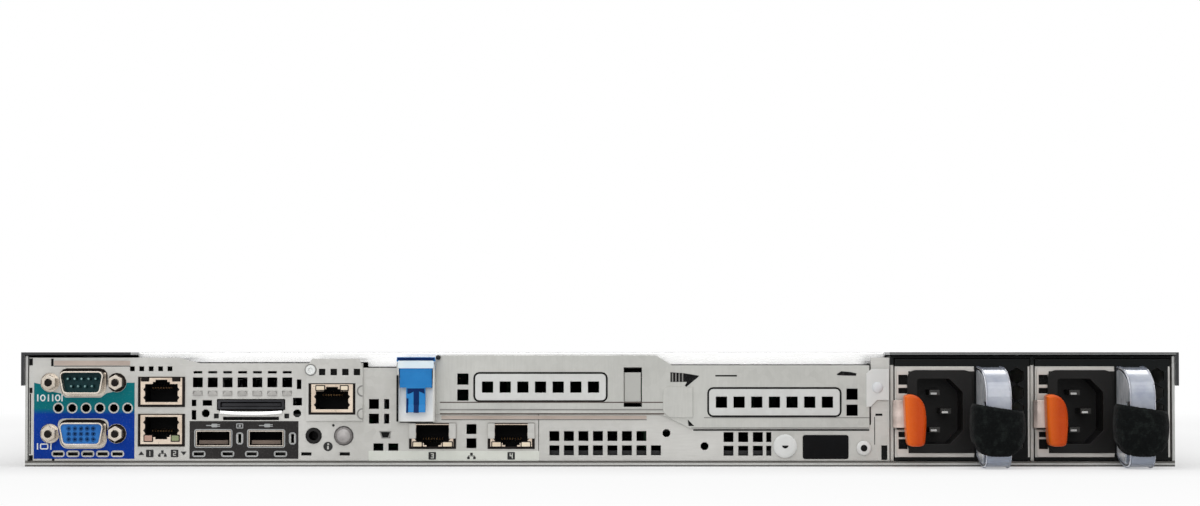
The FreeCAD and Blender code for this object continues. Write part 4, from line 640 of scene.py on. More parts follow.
# repeated pieces: a node tree sets copies of one piece on rows of points, realizes them and sets a finish
def makeGridTree():
    tree = bpy.data.node_groups.new("piecesOnGrid", "GeometryNodeTree")
    inputs = {}
    for name, kind in (("Piece", "Object"), ("Finish", "Material"), ("Start", "Vector"), ("Count", "Int"),
                       ("Step", "Vector"), ("Rows", "Int"), ("Row Step", "Vector")):
        socket = tree.interface.new_socket(name=name, in_out="INPUT", socket_type="NodeSocket" + kind)
        inputs[name] = socket.identifier
    tree.interface.new_socket(name="Geometry", in_out="OUTPUT", socket_type="NodeSocketGeometry")
    given = tree.nodes.new("NodeGroupInput").outputs
    row = addNode(tree, "GeometryNodeMeshLine", mode="OFFSET", feeds={
        "Count": given["Count"], "Start Location": given["Start"], "Offset": given["Step"]})
    rows = addNode(tree, "GeometryNodeMeshLine", mode="OFFSET", feeds={
        "Count": given["Rows"], "Offset": given["Row Step"]})
    grid = addNode(tree, "GeometryNodeInstanceOnPoints", feeds={
        "Points": rows.outputs[0], "Instance": row.outputs[0]})
    points = addNode(tree, "GeometryNodeRealizeInstances", feeds={0: grid.outputs[0]})
    piece = addNode(tree, "GeometryNodeObjectInfo", feeds={"Object": given["Piece"]})
    copies = addNode(tree, "GeometryNodeInstanceOnPoints", feeds={
        "Points": points.outputs[0], "Instance": piece.outputs["Geometry"]})
    whole = addNode(tree, "GeometryNodeRealizeInstances", feeds={0: copies.outputs[0]})
    dressed = addNode(tree, "GeometryNodeSetMaterial", feeds={
        "Geometry": whole.outputs[0], "Material": given["Finish"]})
    addNode(tree, "NodeGroupOutput", feeds={0: dressed.outputs[0]})
    return tree, inputs


gridTree, gridInputs = makeGridTree()


def repeatPiece(name, mesh, finish, start, count, step, rows=1, rowStep=(0.0, 0.0, 0.0), body="chassis",
                smooth=False):
    seed = bpy.data.objects.new(name + "Seed", mesh)
    holder = bpy.data.objects.new(name + "Rig", bpy.data.meshes.new(name + "Rig"))
    for thing in (seed, holder):
        bpy.context.collection.objects.link(thing)
    rig = holder.modifiers.new("grid", "NODES")
    rig.node_group = gridTree
    values = {"Piece": seed, "Finish": finishes[finish], "Count": count, "Rows": rows}
    for key, vector in (("Start", start), ("Step", step), ("Row Step", rowStep)):
        values[key] = [v * mm for v in vector]
    for key, value in values.items():
        rig[gridInputs[key]] = value
    bpy.context.view_layer.update()
    made = bpy.data.meshes.new_from_object(holder.evaluated_get(bpy.context.evaluated_depsgraph_get()))
    holder.modifiers.clear()
    bpy.data.objects.remove(holder)
    bpy.data.objects.remove(seed)
    made.name = name
    return addPiece(name, tidyMesh(made, smooth), finish, body)


# lathe: a closed piece round an axis along Y, from (radius, y) pairs that run from its front middle to its
# back, which looks to the rear until it is turned another way
aims = {"rear": Matrix.Identity(4), "top": Matrix.Rotation(-math.pi / 2, 4, "X"),
        "right": Matrix.Rotation(math.pi / 2, 4, "Z"), "left": Matrix.Rotation(-math.pi / 2, 4, "Z")}


def turnedMesh(name, profile, sides=32, way="rear"):
    points, faces = [(0.0, profile[0][1] * mm, 0.0)], []
    for radius, y in profile[1:]:
        points += [(u * mm, y * mm, w * mm) for u, w in disc(0.0, 0.0, radius, sides)]
    for i in range(sides):
        k = (i + 1) % sides
        faces.append((0, 1 + i, 1 + k))
        for ring in range(len(profile) - 2):
            low = 1 + ring * sides
            faces.append((low + i, low + sides + i, low + sides + k, low + k))
    points.append((0.0, profile[-1][1] * mm, 0.0))
    last = 1 + (len(profile) - 2) * sides
    faces += [(len(points) - 1, last + (i + 1) % sides, last + i) for i in range(sides)]
    mesh = meshFrom(name, points, faces, True)
    mesh.transform(aims[way])
    return mesh


def turnedPiece(name, profile, spot, finish, sides=32, way="rear", body="chassis"):
    mesh = turnedMesh(name, profile, sides, way)
    mesh.transform(Matrix.Translation(Vector(spot) * mm))
    return addPiece(name, mesh, finish, body)


# bent strip: a bar with a rounded section, drawn along a line of (x, y, z) points
def barMesh(name, path, width, thick, across=(1.0, 0.0, 0.0)):
    side = Vector(across).normalized()
    points = []
    loop = [(sx * (width / 2 - a * thick * 0.3), sy * (thick / 2 - b * thick * 0.3))
            for sx, sy, order in ((1, 1, 0), (-1, 1, 1), (-1, -1, 0), (1, -1, 1))
            for a, b in (((0, 1), (1, 0)) if order == 0 else ((1, 0), (0, 1)))]
    for i, spot in enumerate(path):
        ahead = (Vector(path[min(i + 1, len(path) - 1)]) - Vector(path[max(i - 1, 0)])).normalized()
        up = side.cross(ahead).normalized()
        points += [(Vector(spot) + side * u + up * v) * mm for u, v in loop]
    return loftMesh(name, points, len(loop))


# evenly spaced points on a rounded line through the given ones, and its length
def smoothPath(points, steps):
    fine = []
    for i in range(len(points) - 1):
        a, b = Vector(points[max(i - 1, 0)]), Vector(points[i])
        c, d = Vector(points[i + 1]), Vector(points[min(i + 2, len(points) - 1)])
        for step in range(16):
            t = step / 16.0
            fine.append(0.5 * (2 * b + (c - a) * t + (2 * a - 5 * b + 4 * c - d) * t ** 2
                               + (3 * b - a - 3 * c + d) * t ** 3))
    fine.append(Vector(points[-1]))
    lengths = [0.0]
    for i in range(1, len(fine)):
        lengths.append(lengths[-1] + (fine[i] - fine[i - 1]).length)
    path, k = [], 0
    for step in range(steps):
        target = lengths[-1] * step / (steps - 1)
        while k < len(fine) - 2 and lengths[k + 1] < target:
            k += 1
        share = (target - lengths[k]) / max(lengths[k + 1] - lengths[k], 1e-9)
        path.append(fine[k].lerp(fine[k + 1], share))
    return path, lengths[-1]


# printed labels: films with openings cut round the connectors and vents, and plain marks on them
ports = dict(dsubX=-193.8, serialZ=31.5, vgaZ=12.3, width=16.9, height=8.4, lean=10.0, rim=1.5, corner=3.2,
             screwSpan=25.0, screwHole=3.7)
screwX = [ports["dsubX"] + side * ports["screwSpan"] / 2 for side in (-1, 1)]


def dsubOutline(z, grow):  # a D with its wide edge up and rounded corners
    tall = ports["height"] / 2 + grow
    wide = ports["width"] / 2 + grow
    narrow = wide - ports["height"] * math.tan(math.radians(ports["lean"]))
    corners = [Vector((x, h)) for x, h in ((narrow, -tall), (wide, tall), (-wide, tall), (-narrow, -tall))]
    points = []
    for i, corner in enumerate(corners):
        start = corner + (corners[i - 1] - corner).normalized() * ports["corner"]
        end = corner + (corners[(i + 1) % 4] - corner).normalized() * ports["corner"]
        for step in range(7):
            s = step / 6.0
            points.append(start * (1 - s) ** 2 + corner * (2 * s * (1 - s)) + end * s ** 2)
    return [(ports["dsubX"] + p.x, z + p.y) for p in points]


label = dict(left=-212.3, right=-174.6, foot=2.9, top=31.4, film=0.12, shell=((8.6, 27.4), (6.6, 25.8)),
             holeX=-203.2, holePitch=5.2, holes=6, holeZ=21.9, holeRadius=2.05,
             slotPitch=5.57, slots=5, slotZ=4.75, slotWide=5.0, slotTall=2.5, slotRound=1.1)


def labelOutline():  # the top edge runs round the serial connector's screws and under its shell
    rightArc = arc(screwX[1], ports["serialZ"], ports["screwHole"], range(-2, -113, -12))
    leftArc = arc(screwX[0], ports["serialZ"], ports["screwHole"], range(-74, -180, -12))
    shell = [(ports["dsubX"] + x, z) for x, z in label["shell"]]
    shell += [(ports["dsubX"] - x, z) for x, z in reversed(label["shell"])]
    return [(label["left"], label["foot"]), (label["right"], label["foot"]), (label["right"], label["top"]),
            *rightArc, *shell, *leftArc, (label["left"], label["top"])]


film = rearY - label["film"]
openings = [dsubOutline(ports["vgaZ"], ports["rim"])]
openings += [disc(x, ports["vgaZ"], ports["screwHole"]) for x in screwX]
openings += [disc(label["holeX"] + i * label["holePitch"], label["holeZ"], label["holeRadius"])
             for i in range(label["holes"])]
openings += [roundRect(label["holeX"] + i * label["slotPitch"], label["slotZ"], label["slotWide"],
                       label["slotTall"], label["slotRound"]) for i in range(label["slots"])]
platePiece("portLabel", [labelOutline()] + openings, film, label["film"], "portFilm")

# marks drawn with bars and rings, all generic
marking = dict(raised=0.06, thick=0.1, line=0.5)
serialMark = dict(bars=(-210.9, -206.9, -205.3, -201.8), rings=(-209.0, -203.4), z=25.7, tall=2.6,
                  ringHalf=1.05)
marks = [bar(x, serialMark["z"], marking["line"], serialMark["tall"]) for x in serialMark["bars"]]
for x in serialMark["rings"]:
    marks += ringMark(x, serialMark["z"], serialMark["ringHalf"], serialMark["tall"] / 2, marking["line"])
monitorMark = dict(x=-208.4, z=7.5, wide=3.2, tall=2.3, corner=0.7, side=2.5, sideTall=2.4)
marks += frameMark(monitorMark["x"], monitorMark["z"], monitorMark["wide"], monitorMark["tall"],
                   marking["line"], monitorMark["corner"])
marks += [bar(monitorMark["x"] + side * monitorMark["side"], monitorMark["z"], marking["line"],
              monitorMark["sideTall"]) for side in (-1, 1)]
platePiece("portMarks", marks, film - marking["raised"], marking["thick"], "whiteInk")

# black label under the card reader: pale lines round the ports and slots, a plain plug sign over each port
usb = dict(x=(-145.0, -125.2), left=-153.9, right=-113.1, foot=2.9, top=17.0, line=0.42, inset=0.6,
           holes=((0.0, 10.5, 14.3, 7.0, 0.9), (9.9, 10.5, 2.7, 4.6, 1.1), (-5.4, 4.7, 5.0, 2.3, 0.9),
                  (5.4, 4.7, 5.0, 2.3, 0.9)), tighter=0.2, signZ=15.35, plugX=0.4, plug=(2.2, 1.3, 0.3),
           prongs=((2.0, 0.3, 1.0, 0.3), (2.0, -0.3, 1.0, 0.3), (-1.7, 0.0, 2.0, 0.35)),
           cardSpot=(-135.1, 15.2), card=(2.6, 1.9, 0.35, 0.3), cardDot=(0.45, 12))
openings, lines = [], []
for x in usb["x"]:
    for off, z, wide, tall, radius in usb["holes"]:
        openings.append(roundRect(x + off, z, wide - usb["inset"], tall - usb["inset"],
                                  radius - usb["tighter"]))
        lines += frameMark(x + off, z, wide, tall, usb["line"], radius)
outline = [(usb["left"], usb["foot"]), (usb["right"], usb["foot"]), (usb["right"], usb["top"]),
           (usb["left"], usb["top"])]
platePiece("usbLabel", [outline] + openings, film, label["film"], "blackFilm")
for x in usb["x"]:
    lines.append(roundRect(x + usb["plugX"], usb["signZ"], *usb["plug"]))
    lines += [bar(x + off, usb["signZ"] + up, wide, tall) for off, up, wide, tall in usb["prongs"]]
lines += frameMark(*usb["cardSpot"], *usb["card"])
lines.append(disc(*usb["cardSpot"], *usb["cardDot"]))
platePiece("usbMarks", lines, film - marking["raised"], marking["thick"], "greyInk")
print("labels placed")

# rolled strap round each handle: one wound tape, bulging a little, with its lower corners drawn up
strap = dict(middle=9.8, thick=1.6, foot=4.7, top=24.0, lift=7.4, liftPower=3.6, slant=3.0, bulge=0.55,
             steps=260, rows=13, heart=(0.0, -28.0), reach=9.7, uneven=0.12, ripple=0.8, edge=0.55,
             turns=((7.3, -24.7), (8.8, -27.4), (7.7, -31.5), (3.5, -33.1), (-3.5, -33.1), (-7.8, -31.5),
                    (-8.9, -27.8), (-7.6, -24.4), (-3.0, -22.9), (3.0, -22.95), (5.5, -24.3), (6.9, -26.6),
                    (6.2, -28.6), (3.0, -29.3), (-3.0, -29.3), (-6.2, -28.4), (-7.0, -26.8), (-5.8, -25.2),
                    (-2.5, -24.7), (2.5, -24.8), (4.5, -26.0), (3.2, -27.4), (-2.0, -27.5), (-4.2, -26.6)))


def strapMesh(name, x, seed):
    draw = random.Random(seed)
    path, length = smoothPath(strap["turns"], strap["steps"])
    ups = [row / (strap["rows"] - 1) for row in range(strap["rows"])]
    # across the tape: up the outer face, over the top edge and down the inner face
    loop = [(1, share) for share in ups] + [(-1, 1 - share) for share in ups]
    wobble = [draw.uniform(-strap["uneven"], strap["uneven"]) for _ in range(strap["steps"] * len(loop))]
    points = []
    for i, spot in enumerate(path):
        ahead = (path[min(i + 1, len(path) - 1)] - path[max(i - 1, 0)]).normalized()
        normal = Vector((ahead.y, -ahead.x))
        out = 1.0 if normal.dot(spot - Vector(strap["heart"])) > 0 else -1.0
        foot = strap["foot"] + strap["lift"] * (abs(spot.x) / strap["reach"]) ** strap["liftPower"]
        top = strap["top"] - strap["slant"] * (spot.x + strap["reach"]) / (2 * strap["reach"])
        for j, (side, share) in enumerate(loop):
            edge = min(share, 1 - share) * (strap["rows"] - 1)
            thin = strap["edge"] if edge < 0.5 else 1.0
            swell = strap["bulge"] * math.sin(math.pi * share) * out
            shake = wobble[i * len(loop) + j]
            off = normal * (side * strap["thick"] / 2 * thin + swell + shake * thin)
            z = foot + (top - foot) * share + shake * strap["ripple"]
            points.append(((x + strap["middle"] + spot.x + off.x) * mm, (rearY + spot.y + off.y) * mm,
                           z * mm))
    return loftMesh(name, points, len(loop), True), length


for number, x in enumerate(supplyX, 1):
    mesh, strapLength = strapMesh("psu%dStrap" % number, x, number)
    roll = addPiece("psu%dStrap" % number, mesh, "strapPile", "psu_%d" % number)
    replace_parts(roll, "psu_%d_strap" % number)
print("straps wound, tape length", round(strapLength), "mm")

# skirt under the cover's notched edge, over the rear wall's flange and the card cage's roof, near white as a
# painted highlight
skirt = dict(y=-278.6, thick=0.5, bevel=0.1,
             edge=[(-175.6, 38.9), (-88.4, 38.9), (-88.4, 37.2), (-62.2, 37.2), (-62.2, 38.1),
                   (108.2, 38.1), (108.2, 42.6), (-175.6, 42.6)])
platePiece("coverSkirt", [skirt["edge"]], skirt["y"], skirt["thick"], "brightZinc", skirt["bevel"],
           body="cover")

# network jacks: painted shade in the gaps round the shields and in spring cuts beside the mouths, lamps and
# contacts
jack = dict(half=8.6, front=rearY - 0.5, film=0.1, past=0.1, mouthHalf=6.1, side=0.8, far=0.7, near=0.15,
            cuts=(0.25, 0.7), cut=0.7, cutTall=0.9, cutIn=0.05, wire=0.42, wireThick=0.3, pitch=1.02,
            wires=8, wireOff=1.4, wirePath=((2.2, 0.0), (3.0, -0.35), (5.0, -0.6), (9.0, 0.6), (12.5, 1.2)),
            rim=0.7, rimCorner=0.3, rimLift=0.2, rimThick=0.1, lampCorner=0.25, lampLift=0.55,
            lampThick=0.4, lampBevel=0.12)
jacks = (  # name, x, foot and top of the shield, whether the contacts are above, mouth, lamps
    ("upperJack", -164.5, 22.5, 33.4, 1, (24.1, 30.9), (
        (-170.6, 32.65, 2.4, 0.9, "gasketBlack"), (-158.9, 32.65, 2.4, 0.9, "gasketBlack"))),
    ("lowerJack", -164.5, 7.7, 19.5, -1, (11.8, 18.6), (
        (-169.3, 10.6, 2.9, 2.1, "ledAmber"), (-159.2, 10.6, 2.7, 2.0, "ledGreen"))),
    ("managementJack", -100.5, 19.6, 31.0, 1, (21.4, 28.2), (
        (-104.9, 29.4, 3.0, 1.5, "ledCream"), (-95.9, 29.4, 2.6, 1.5, "ledCream"))),
    ("thirdJack", -62.8, 6.8, 16.1, -1, (8.8, 15.6), (
        (-68.4, 8.3, 3.2, 1.6, "ledCream"), (-57.2, 8.3, 3.4, 1.6, "ledCream"))),
    ("fourthJack", -33.3, 6.8, 16.1, -1, (8.8, 15.6), (
        (-38.8, 8.3, 3.2, 1.6, "ledCream"), (-27.8, 8.3, 3.2, 1.6, "ledCream"))))
for name, x, foot, top, up, mouth, lamps in jacks:
    gap = []
    for half, low, high in ((jack["half"] + jack["past"], foot - jack["past"], top + jack["past"]),
                            (jack["half"] - jack["side"], foot + jack["far"], top - jack["near"])):
        gap.append([(x - half, low), (x + half, low), (x + half, high), (x - half, high)])
    for side in (-1, 1):
        edge = x + side * jack["mouthHalf"]
        for share in jack["cuts"]:
            z = mouth[0] + (mouth[1] - mouth[0]) * share
            inner = edge - side * jack["cutIn"]
            gap.append([(inner, z - jack["cutTall"]), (edge + side * jack["cut"], z),
                        (inner, z + jack["cutTall"])])
    platePiece(name + "Gap", gap, jack["front"] - jack["film"], jack["film"], "gasketBlack")
    for number, (lampX, z, wide, tall, finish) in enumerate(lamps, 1):
        rim = roundRect(lampX, z, wide + jack["rim"], tall + jack["rim"], jack["rimCorner"])
        platePiece(name + "Rim%d" % number, [rim], jack["front"] - jack["rimLift"], jack["rimThick"],
                   "gasketBlack")
        lamp = roundRect(lampX, z, wide, tall, jack["lampCorner"])
        platePiece(name + "Lamp%d" % number, [lamp], jack["front"] - jack["lampLift"], jack["lampThick"],
                   finish, jack["lampBevel"])
    base = mouth[1] - jack["wireOff"] if up > 0 else mouth[0] + jack["wireOff"]
    wire = barMesh(name + "Wire", [(0.0, y, z * up) for y, z in jack["wirePath"]], jack["wire"],
                   jack["wireThick"])
    firstWire = x - jack["pitch"] * (jack["wires"] - 1) / 2
    repeatPiece(name + "Wires", wire, "contactWire", (firstWire, rearY, base), jack["wires"],
                (jack["pitch"], 0.0, 0.0))
# sheet strips over the low jacks' upper sides, as the wall covers them
blind = dict(x=(-62.8, -33.3), off=7.5, z=13.35, wide=2.6, tall=5.7, raised=0.45, thick=0.3)
blinds = [bar(x + side * blind["off"], blind["z"], blind["wide"], blind["tall"])
          for x in blind["x"] for side in (-1, 1)]
platePiece("jackBlinds", blinds, jack["front"] - blind["raised"], blind["thick"], "zincWall")
print("jacks dressed")


# numbers and signs by the network jacks, cut out of dark squares or drawn with bars
def numeral(digit, x, z, wide=1.15, tall=1.9, line=0.34):
    half = tall / 2
    low, high, right, top = half - line / 2, half + line / 2, wide - line, tall - line
    stemLeft, stemRight = wide / 2 - line / 2, wide / 2 + line / 2
    shapes = {1: [(stemLeft, 0), (stemRight, 0), (stemRight, tall), (stemLeft, tall)],
              2: [(0, tall), (wide, tall), (wide, low), (line, low), (line, line), (wide, line), (wide, 0),
                  (0, 0), (0, high), (right, high), (right, top), (0, top)],
              3: [(0, tall), (wide, tall), (wide, 0), (0, 0), (0, line), (right, line), (right, low),
                  (0.25, low), (0.25, high), (right, high), (right, top), (0, top)],
              4: [(0, tall), (line, tall), (line, high), (right, high), (right, tall), (wide, tall),
                  (wide, 0), (right, 0), (right, low), (0, low)]}
    return [(x - wide / 2 + u, z - half + v) for u, v in shapes[digit]]


signs = dict(lift=0.14, square=2.8, corner=0.25,
             squares=((1, -168.8, 4.9), (2, -159.5, 4.9), (3, -62.9, 4.0), (4, -33.3, 4.0)),
             networks=((-164.1, 4.9), (-48.2, 4.0)), strip=(-54.8, 4.0, 64.0, 3.8, 0.4),
             network=((0.0, 0.7, 0.95, 0.9), (0.0, 0.16, 0.26, 0.18), (0.0, -0.05, 2.5, 0.24),
                      (-1.12, -0.26, 0.26, 0.18), (-1.12, -0.8, 0.95, 0.9), (1.12, -0.26, 0.26, 0.18),
                      (1.12, -0.8, 0.95, 0.9)), info=(-102.0, 7.5, 1.75), infoStem=(-102.0, 7.1, 0.6, 1.3),
             infoDot=(-101.9, 8.4, 0.36, 10), lampDot=(-100.0, 15.4, 0.5, 12),
             arrows=([(-173.1, 4.3), (-170.9, 4.3), (-172.0, 5.7)],
                     [(-157.2, 5.6), (-155.0, 5.6), (-156.1, 4.2)]))
platePiece("jackStrip", [roundRect(*signs["strip"])], rearY - foldThick, foldThick, "paleFilm")
outlines = [*signs["arrows"]]
for digit, x, z in signs["squares"]:
    outlines += [roundRect(x, z, signs["square"], signs["square"], signs["corner"]), numeral(digit, x, z)]
for x, z in signs["networks"]:
    outlines += [bar(x + u, z + v, wide, tall) for u, v, wide, tall in signs["network"]]
outlines += [disc(*signs["info"]), bar(*signs["infoStem"]), disc(*signs["infoDot"]),
             disc(*signs["lampDot"])]
platePiece("jackSigns", outlines, rearY - signs["lift"], filmThick, "darkInk")

# card reader: bowed spring under it with a painted highlight, painted shadow in the gap, dust flap in its
# slot and hoods over the louvres
reader = dict(x=-130.9, half=11.7, top=20.95, foot=19.75, sag=0.65, topSag=0.7, steps=16, springLift=0.7,
              spring=0.6, springBevel=0.2, gap=(21.1, 24.4, 0.8, 0.3), flap=(23.1, 22.4, 1.5, 0.2),
              flapIn=0.9, flapThick=0.5, flapBevel=0.15)
shares = [2.0 * i / reader["steps"] - 1.0 for i in range(reader["steps"] + 1)]
bow = [(reader["x"] + reader["half"] * u, reader["foot"] - reader["sag"] * (1 - u * u)) for u in shares]
bow += [(reader["x"] + reader["half"] * u, reader["top"] - reader["topSag"] * reader["sag"] * (1 - u * u))
        for u in reversed(shares)]
platePiece("readerSpring", [bow], rearY - reader["springLift"], reader["spring"], "brightZinc",
           reader["springBevel"])
platePiece("readerGap", [roundRect(reader["x"], *reader["gap"])], rearY - filmThick, filmThick, "ventBlack")
platePiece("readerFlap", [roundRect(reader["x"], *reader["flap"])], rearY + reader["flapIn"],
           reader["flapThick"], "readerBlack", reader["flapBevel"])
hood = dict(wide=1.85, tall=2.0, deep=0.55, closed=0.96, rows=4, columns=12, start=(-150.9, rearY, 26.5),
            count=7, pitch=5.59)


def hoodMesh(name, rows, columns):
    points, faces = [], []
    count = columns + 1
    for j in range(rows + 1):
        tilt = math.pi / 2 * j / rows * hood["closed"]
        for i in range(count):
            turn = math.pi * i / columns
            points.append((hood["wide"] * mm * math.cos(turn) * math.cos(tilt),
                           -hood["deep"] * mm * math.sin(tilt),
                           hood["tall"] * mm * math.sin(turn) * math.cos(tilt)))
    for j in range(rows):
        for i in range(columns):
            low = j * count + i
            faces.append((low, low + 1, low + count + 1, low + count))
    faces.append(tuple(range(rows * count, rows * count + count)))
    faces.append(tuple(range(count))[::-1])
    foot = [j * count for j in range(rows + 1)]
    foot += [j * count + columns for j in range(rows, -1, -1)]
    faces.append(tuple(foot))
    return meshFrom(name, points, faces)


repeatPiece("louvreHoods", hoodMesh("louvreHood", hood["rows"], hood["columns"]), "softGrey", hood["start"],
            hood["count"], (hood["pitch"], 0.0, 0.0))

# management plate: painted shade behind its vents, half rings at its edge and a ring round its screw drawn in
# painted shade, painted shade in the funnel, the button's dome
plate = dict(ventX=-104.2, ventZ=35.4, pitch=4.35, vents=4, vent=2.6, ventLift=0.14, ventThick=0.1,
             front=rearY - 0.8, ringX=-89.0, ringZ=(28.3, 19.7), ring=(2.2, 1.65), ringLift=0.06,
             screw=(-108.5, 36.2, 2.25, 2.25, 0.4),
             funnelRim=[(-82.8, 13.3), (-81.9, 10.5), (-79.0, 10.5), (-78.2, 13.3)],
             funnelHole=[(-82.2, 12.9), (-81.5, 10.9), (-79.5, 10.9), (-78.8, 12.9)],
             domeSpot=(-96.1, rearY, 11.5),
             dome=[(0, -2.4), (0.9, -2.3), (1.7, -2.0), (2.3, -1.6), (2.6, -1.3), (2.6, -1.2)])
plateVents = [bar(plate["ventX"] + i * plate["pitch"], plate["ventZ"], plate["vent"], plate["vent"])
              for i in range(plate["vents"])]
platePiece("plateVents", plateVents, rearY - plate["ventLift"], plate["ventThick"], "ventBlack")
rings = [arcBand(plate["ringX"], z, *plate["ring"], range(90, 271, 15)) for z in plate["ringZ"]]
rings += ringMark(*plate["screw"])
platePiece("plateRings", rings, plate["front"] - plate["ringLift"], filmThick, "shadeGrey")
platePiece("funnelRim", [plate["funnelRim"]], rearY - filmThick, filmThick, "shadeGrey")
platePiece("funnelHole", [plate["funnelHole"]], rearY - 2 * filmThick, filmThick, "ventBlack")
turnedPiece("idDome", plate["dome"], plate["domeSpot"], "domeGrey", body="id_button")

# blue latch: painted highlight on its cap, painted shade along its top edge, in the groove and creases of its
# stem and in the gap beside it, and its pin
latch = dict(x=-68.8, front=-302.0, film=0.1,
             cap=(38.25, 13.5, 2.9, 0.5), capLift=0.6, capThick=0.5, capBevel=0.15,
             edge=(40.35, 14.0, 1.0, 0.35), edgeLift=0.7, edgeThick=0.4, edgeBevel=0.1, grooveLift=0.12,
             groove=[(-72.0, 29.3), (-71.9, 27.3), (-70.8, 27.5), (-69.6, 28.2), (-69.6, 22.9),
                     (-67.6, 22.9), (-67.6, 28.2), (-66.7, 27.9), (-65.5, 27.3), (-65.6, 29.3)],
             creases=(("latchCrease", -68.6, 2.0, 23.6), ("latchSide", -71.95, 0.8, 25.6)), creaseThick=0.2,
             kick=((0.04, 23.0), (0.98, 20.2)), gap=(-75.62, 25.6, 0.76, 17.4, 0.3), gapLift=6.0,
             pinSpot=(-60.6, rearY, 40.9), pin=[(0, -3.0), (0.5, -2.9), (0.9, -2.4), (0.9, -0.9)])
platePiece("latchShine", [roundRect(latch["x"], *latch["cap"])], latch["front"] - latch["capLift"],
           latch["capThick"], "latchShine", latch["capBevel"], body="card_latch")
platePiece("latchEdge", [roundRect(latch["x"], *latch["edge"])], latch["front"] - latch["edgeLift"],
           latch["edgeThick"], "latchDeep", latch["edgeBevel"], body="card_latch")
platePiece("latchGroove", [latch["groove"]], latch["front"] - latch["grooveLift"], latch["film"],
           "latchDeep", body="card_latch")
for name, x, wide, top in latch["creases"]:
    path = [(x, latch["front"] - lift, z) for lift, z in ((latch["kick"][0][0], top), *latch["kick"])]
    addPiece(name, barMesh(name, path, wide, latch["creaseThick"]), "latchDeep", "card_latch")
platePiece("latchGap", [roundRect(*latch["gap"])], rearY - latch["gapLift"], latch["film"], "ventBlack")
turnedPiece("channelPin", latch["pin"], latch["pinSpot"], "blackMould", 20)

# card cage: painted shade along creases under the slots and in a band on the wall below, the tab plate over
# the second clip, and odd slots and the ribbed gap in painted shade
cage = dict(front=rearY - 1.0, lift=0.06, shadeLift=0.1, clipLift=0.5, clipThick=0.45, clipBevel=0.1,
            creases=((-18.0, 21.3, 84.0, 0.5), (70.0, 18.3, 62.0, 0.35), (67.5, 14.5, 66.5, 0.3)),
            lines=((-18.0, 24.05, 84.0, 0.4), (-18.0, 19.75, 84.0, 0.5)),
            band=(-21.0, 18.4, 77.0, 1.3, 0.3),
            shade=((68.0, 13.65, 66.0, 0.6), (-68.8, 16.55, 12.6, 0.35), (-21.0, 17.5, 77.0, 0.2)),
            clip=[(23.6, 20.6), (26.0, 18.3), (34.8, 18.3), (34.8, 29.7), (25.2, 29.7), (23.6, 28.6)],
            gap=[(26.4, 35.3), (26.4, 31.7), (32.6, 31.7), (31.8, 30.2), (32.4, 29.9), (34.2, 31.4),
                 (36.2, 33.0), (37.2, 34.0), (31.2, 35.0)],
            bentSlot=[(88.7, 34.6), (89.2, 34.2), (91.0, 34.1), (96.0, 34.0), (96.2, 34.9), (94.0, 35.4),
                      (90.5, 35.7)],
            thinSlot=(47.3, 34.0, 8.1, 0.55), corner=[(32.9, 17.6), (33.2, 15.2), (35.3, 15.2)],
            rib=[(0.0, 0.0, -1.6), (0.0, -0.05, 0.0), (0.0, 0.0, 1.6)], ribWide=0.5, ribThick=0.25,
            firstRib=(27.2, rearY - 1.15, 33.4), ribPitch=1.25, ribs=4)
platePiece("cageCreases", bars(cage["creases"]), cage["front"] - cage["lift"], filmThick, "shadeGrey")
platePiece("cageLines", bars(cage["lines"]), cage["front"] - cage["lift"], filmThick, "creaseBrown")
platePiece("wallBand", [roundRect(*cage["band"])], rearY - foldThick, foldThick, "pinkShade")
platePiece("wallShade", bars(cage["shade"]), rearY - cage["shadeLift"], filmThick, "darkInk")
platePiece("clipPlate", [cage["clip"]], cage["front"] - cage["clipLift"], cage["clipThick"], "zincCage",
           cage["clipBevel"])
platePiece("ribbedGap", [cage["gap"], cage["bentSlot"], bar(*cage["thinSlot"]), cage["corner"]],
           cage["front"] - filmThick, filmThick, "ventBlack")
rib = barMesh("cageRib", cage["rib"], cage["ribWide"], cage["ribThick"])
repeatPiece("cageRibs", rib, "shadeGrey", cage["firstRib"], cage["ribs"], (cage["ribPitch"], 0.0, 0.0))

# wall's right end: capped screw and nut with painted shade in their bores, bare name plate, white post plate
# with its rivet, and painted shade in its gaps
rightEnd = dict(discSpot=(69.3, rearY, 7.6),
                disc=[(0, -1.35), (3.4, -1.3), (4.1, -1.15), (4.4, -0.8), (4.4, -0.05)],
                nutSpot=(98.9, rearY, 6.9),
                nut=[(0, -1.3), (2.2, -1.3), (2.6, -1.1), (2.75, -0.7), (2.75, -0.05)],
                halfMoon=(69.4, 7.9, 1.2, 1.1), nutBore=(98.9, 6.9, 1.25), boreLift=1.42, boreThick=0.1,
                name=(84.6, 7.3, 17.2, 9.0, 0.9), nameThick=0.3, nameBevel=0.08,
                post=[(99.8, 22.4), (101.4, 22.4), (103.8, 24.9), (108.3, 24.9), (108.3, 36.6),
                      (101.7, 36.6), (99.8, 34.8)], postLift=1.5, postThick=0.4, postBevel=0.1,
                rivetSpot=(104.0, rearY, 29.6),
                rivet=[(0, -2.3), (0.8, -2.25), (1.6, -2.0), (2.1, -1.6), (2.1, -1.3)],
                gaps=((106.6, 5.2, 2.2, 5.4), (104.6, 19.4, 2.6, 0.8), (103.0, 13.4, 0.25, 10.4)),
                gapLift=0.1)
turnedPiece("discScrew", rightEnd["disc"], rightEnd["discSpot"], "plateWhite")
turnedPiece("nutRing", rightEnd["nut"], rightEnd["nutSpot"], "plateWhite")
moonX, moonZ, moonWide, moonTall = rightEnd["halfMoon"]
platePiece("screwBores", [arc(moonX, moonZ, moonWide, range(180, 361, 20), moonTall),
                          disc(*rightEnd["nutBore"])],
           rearY - rightEnd["boreLift"], rightEnd["boreThick"], "ventBlack")
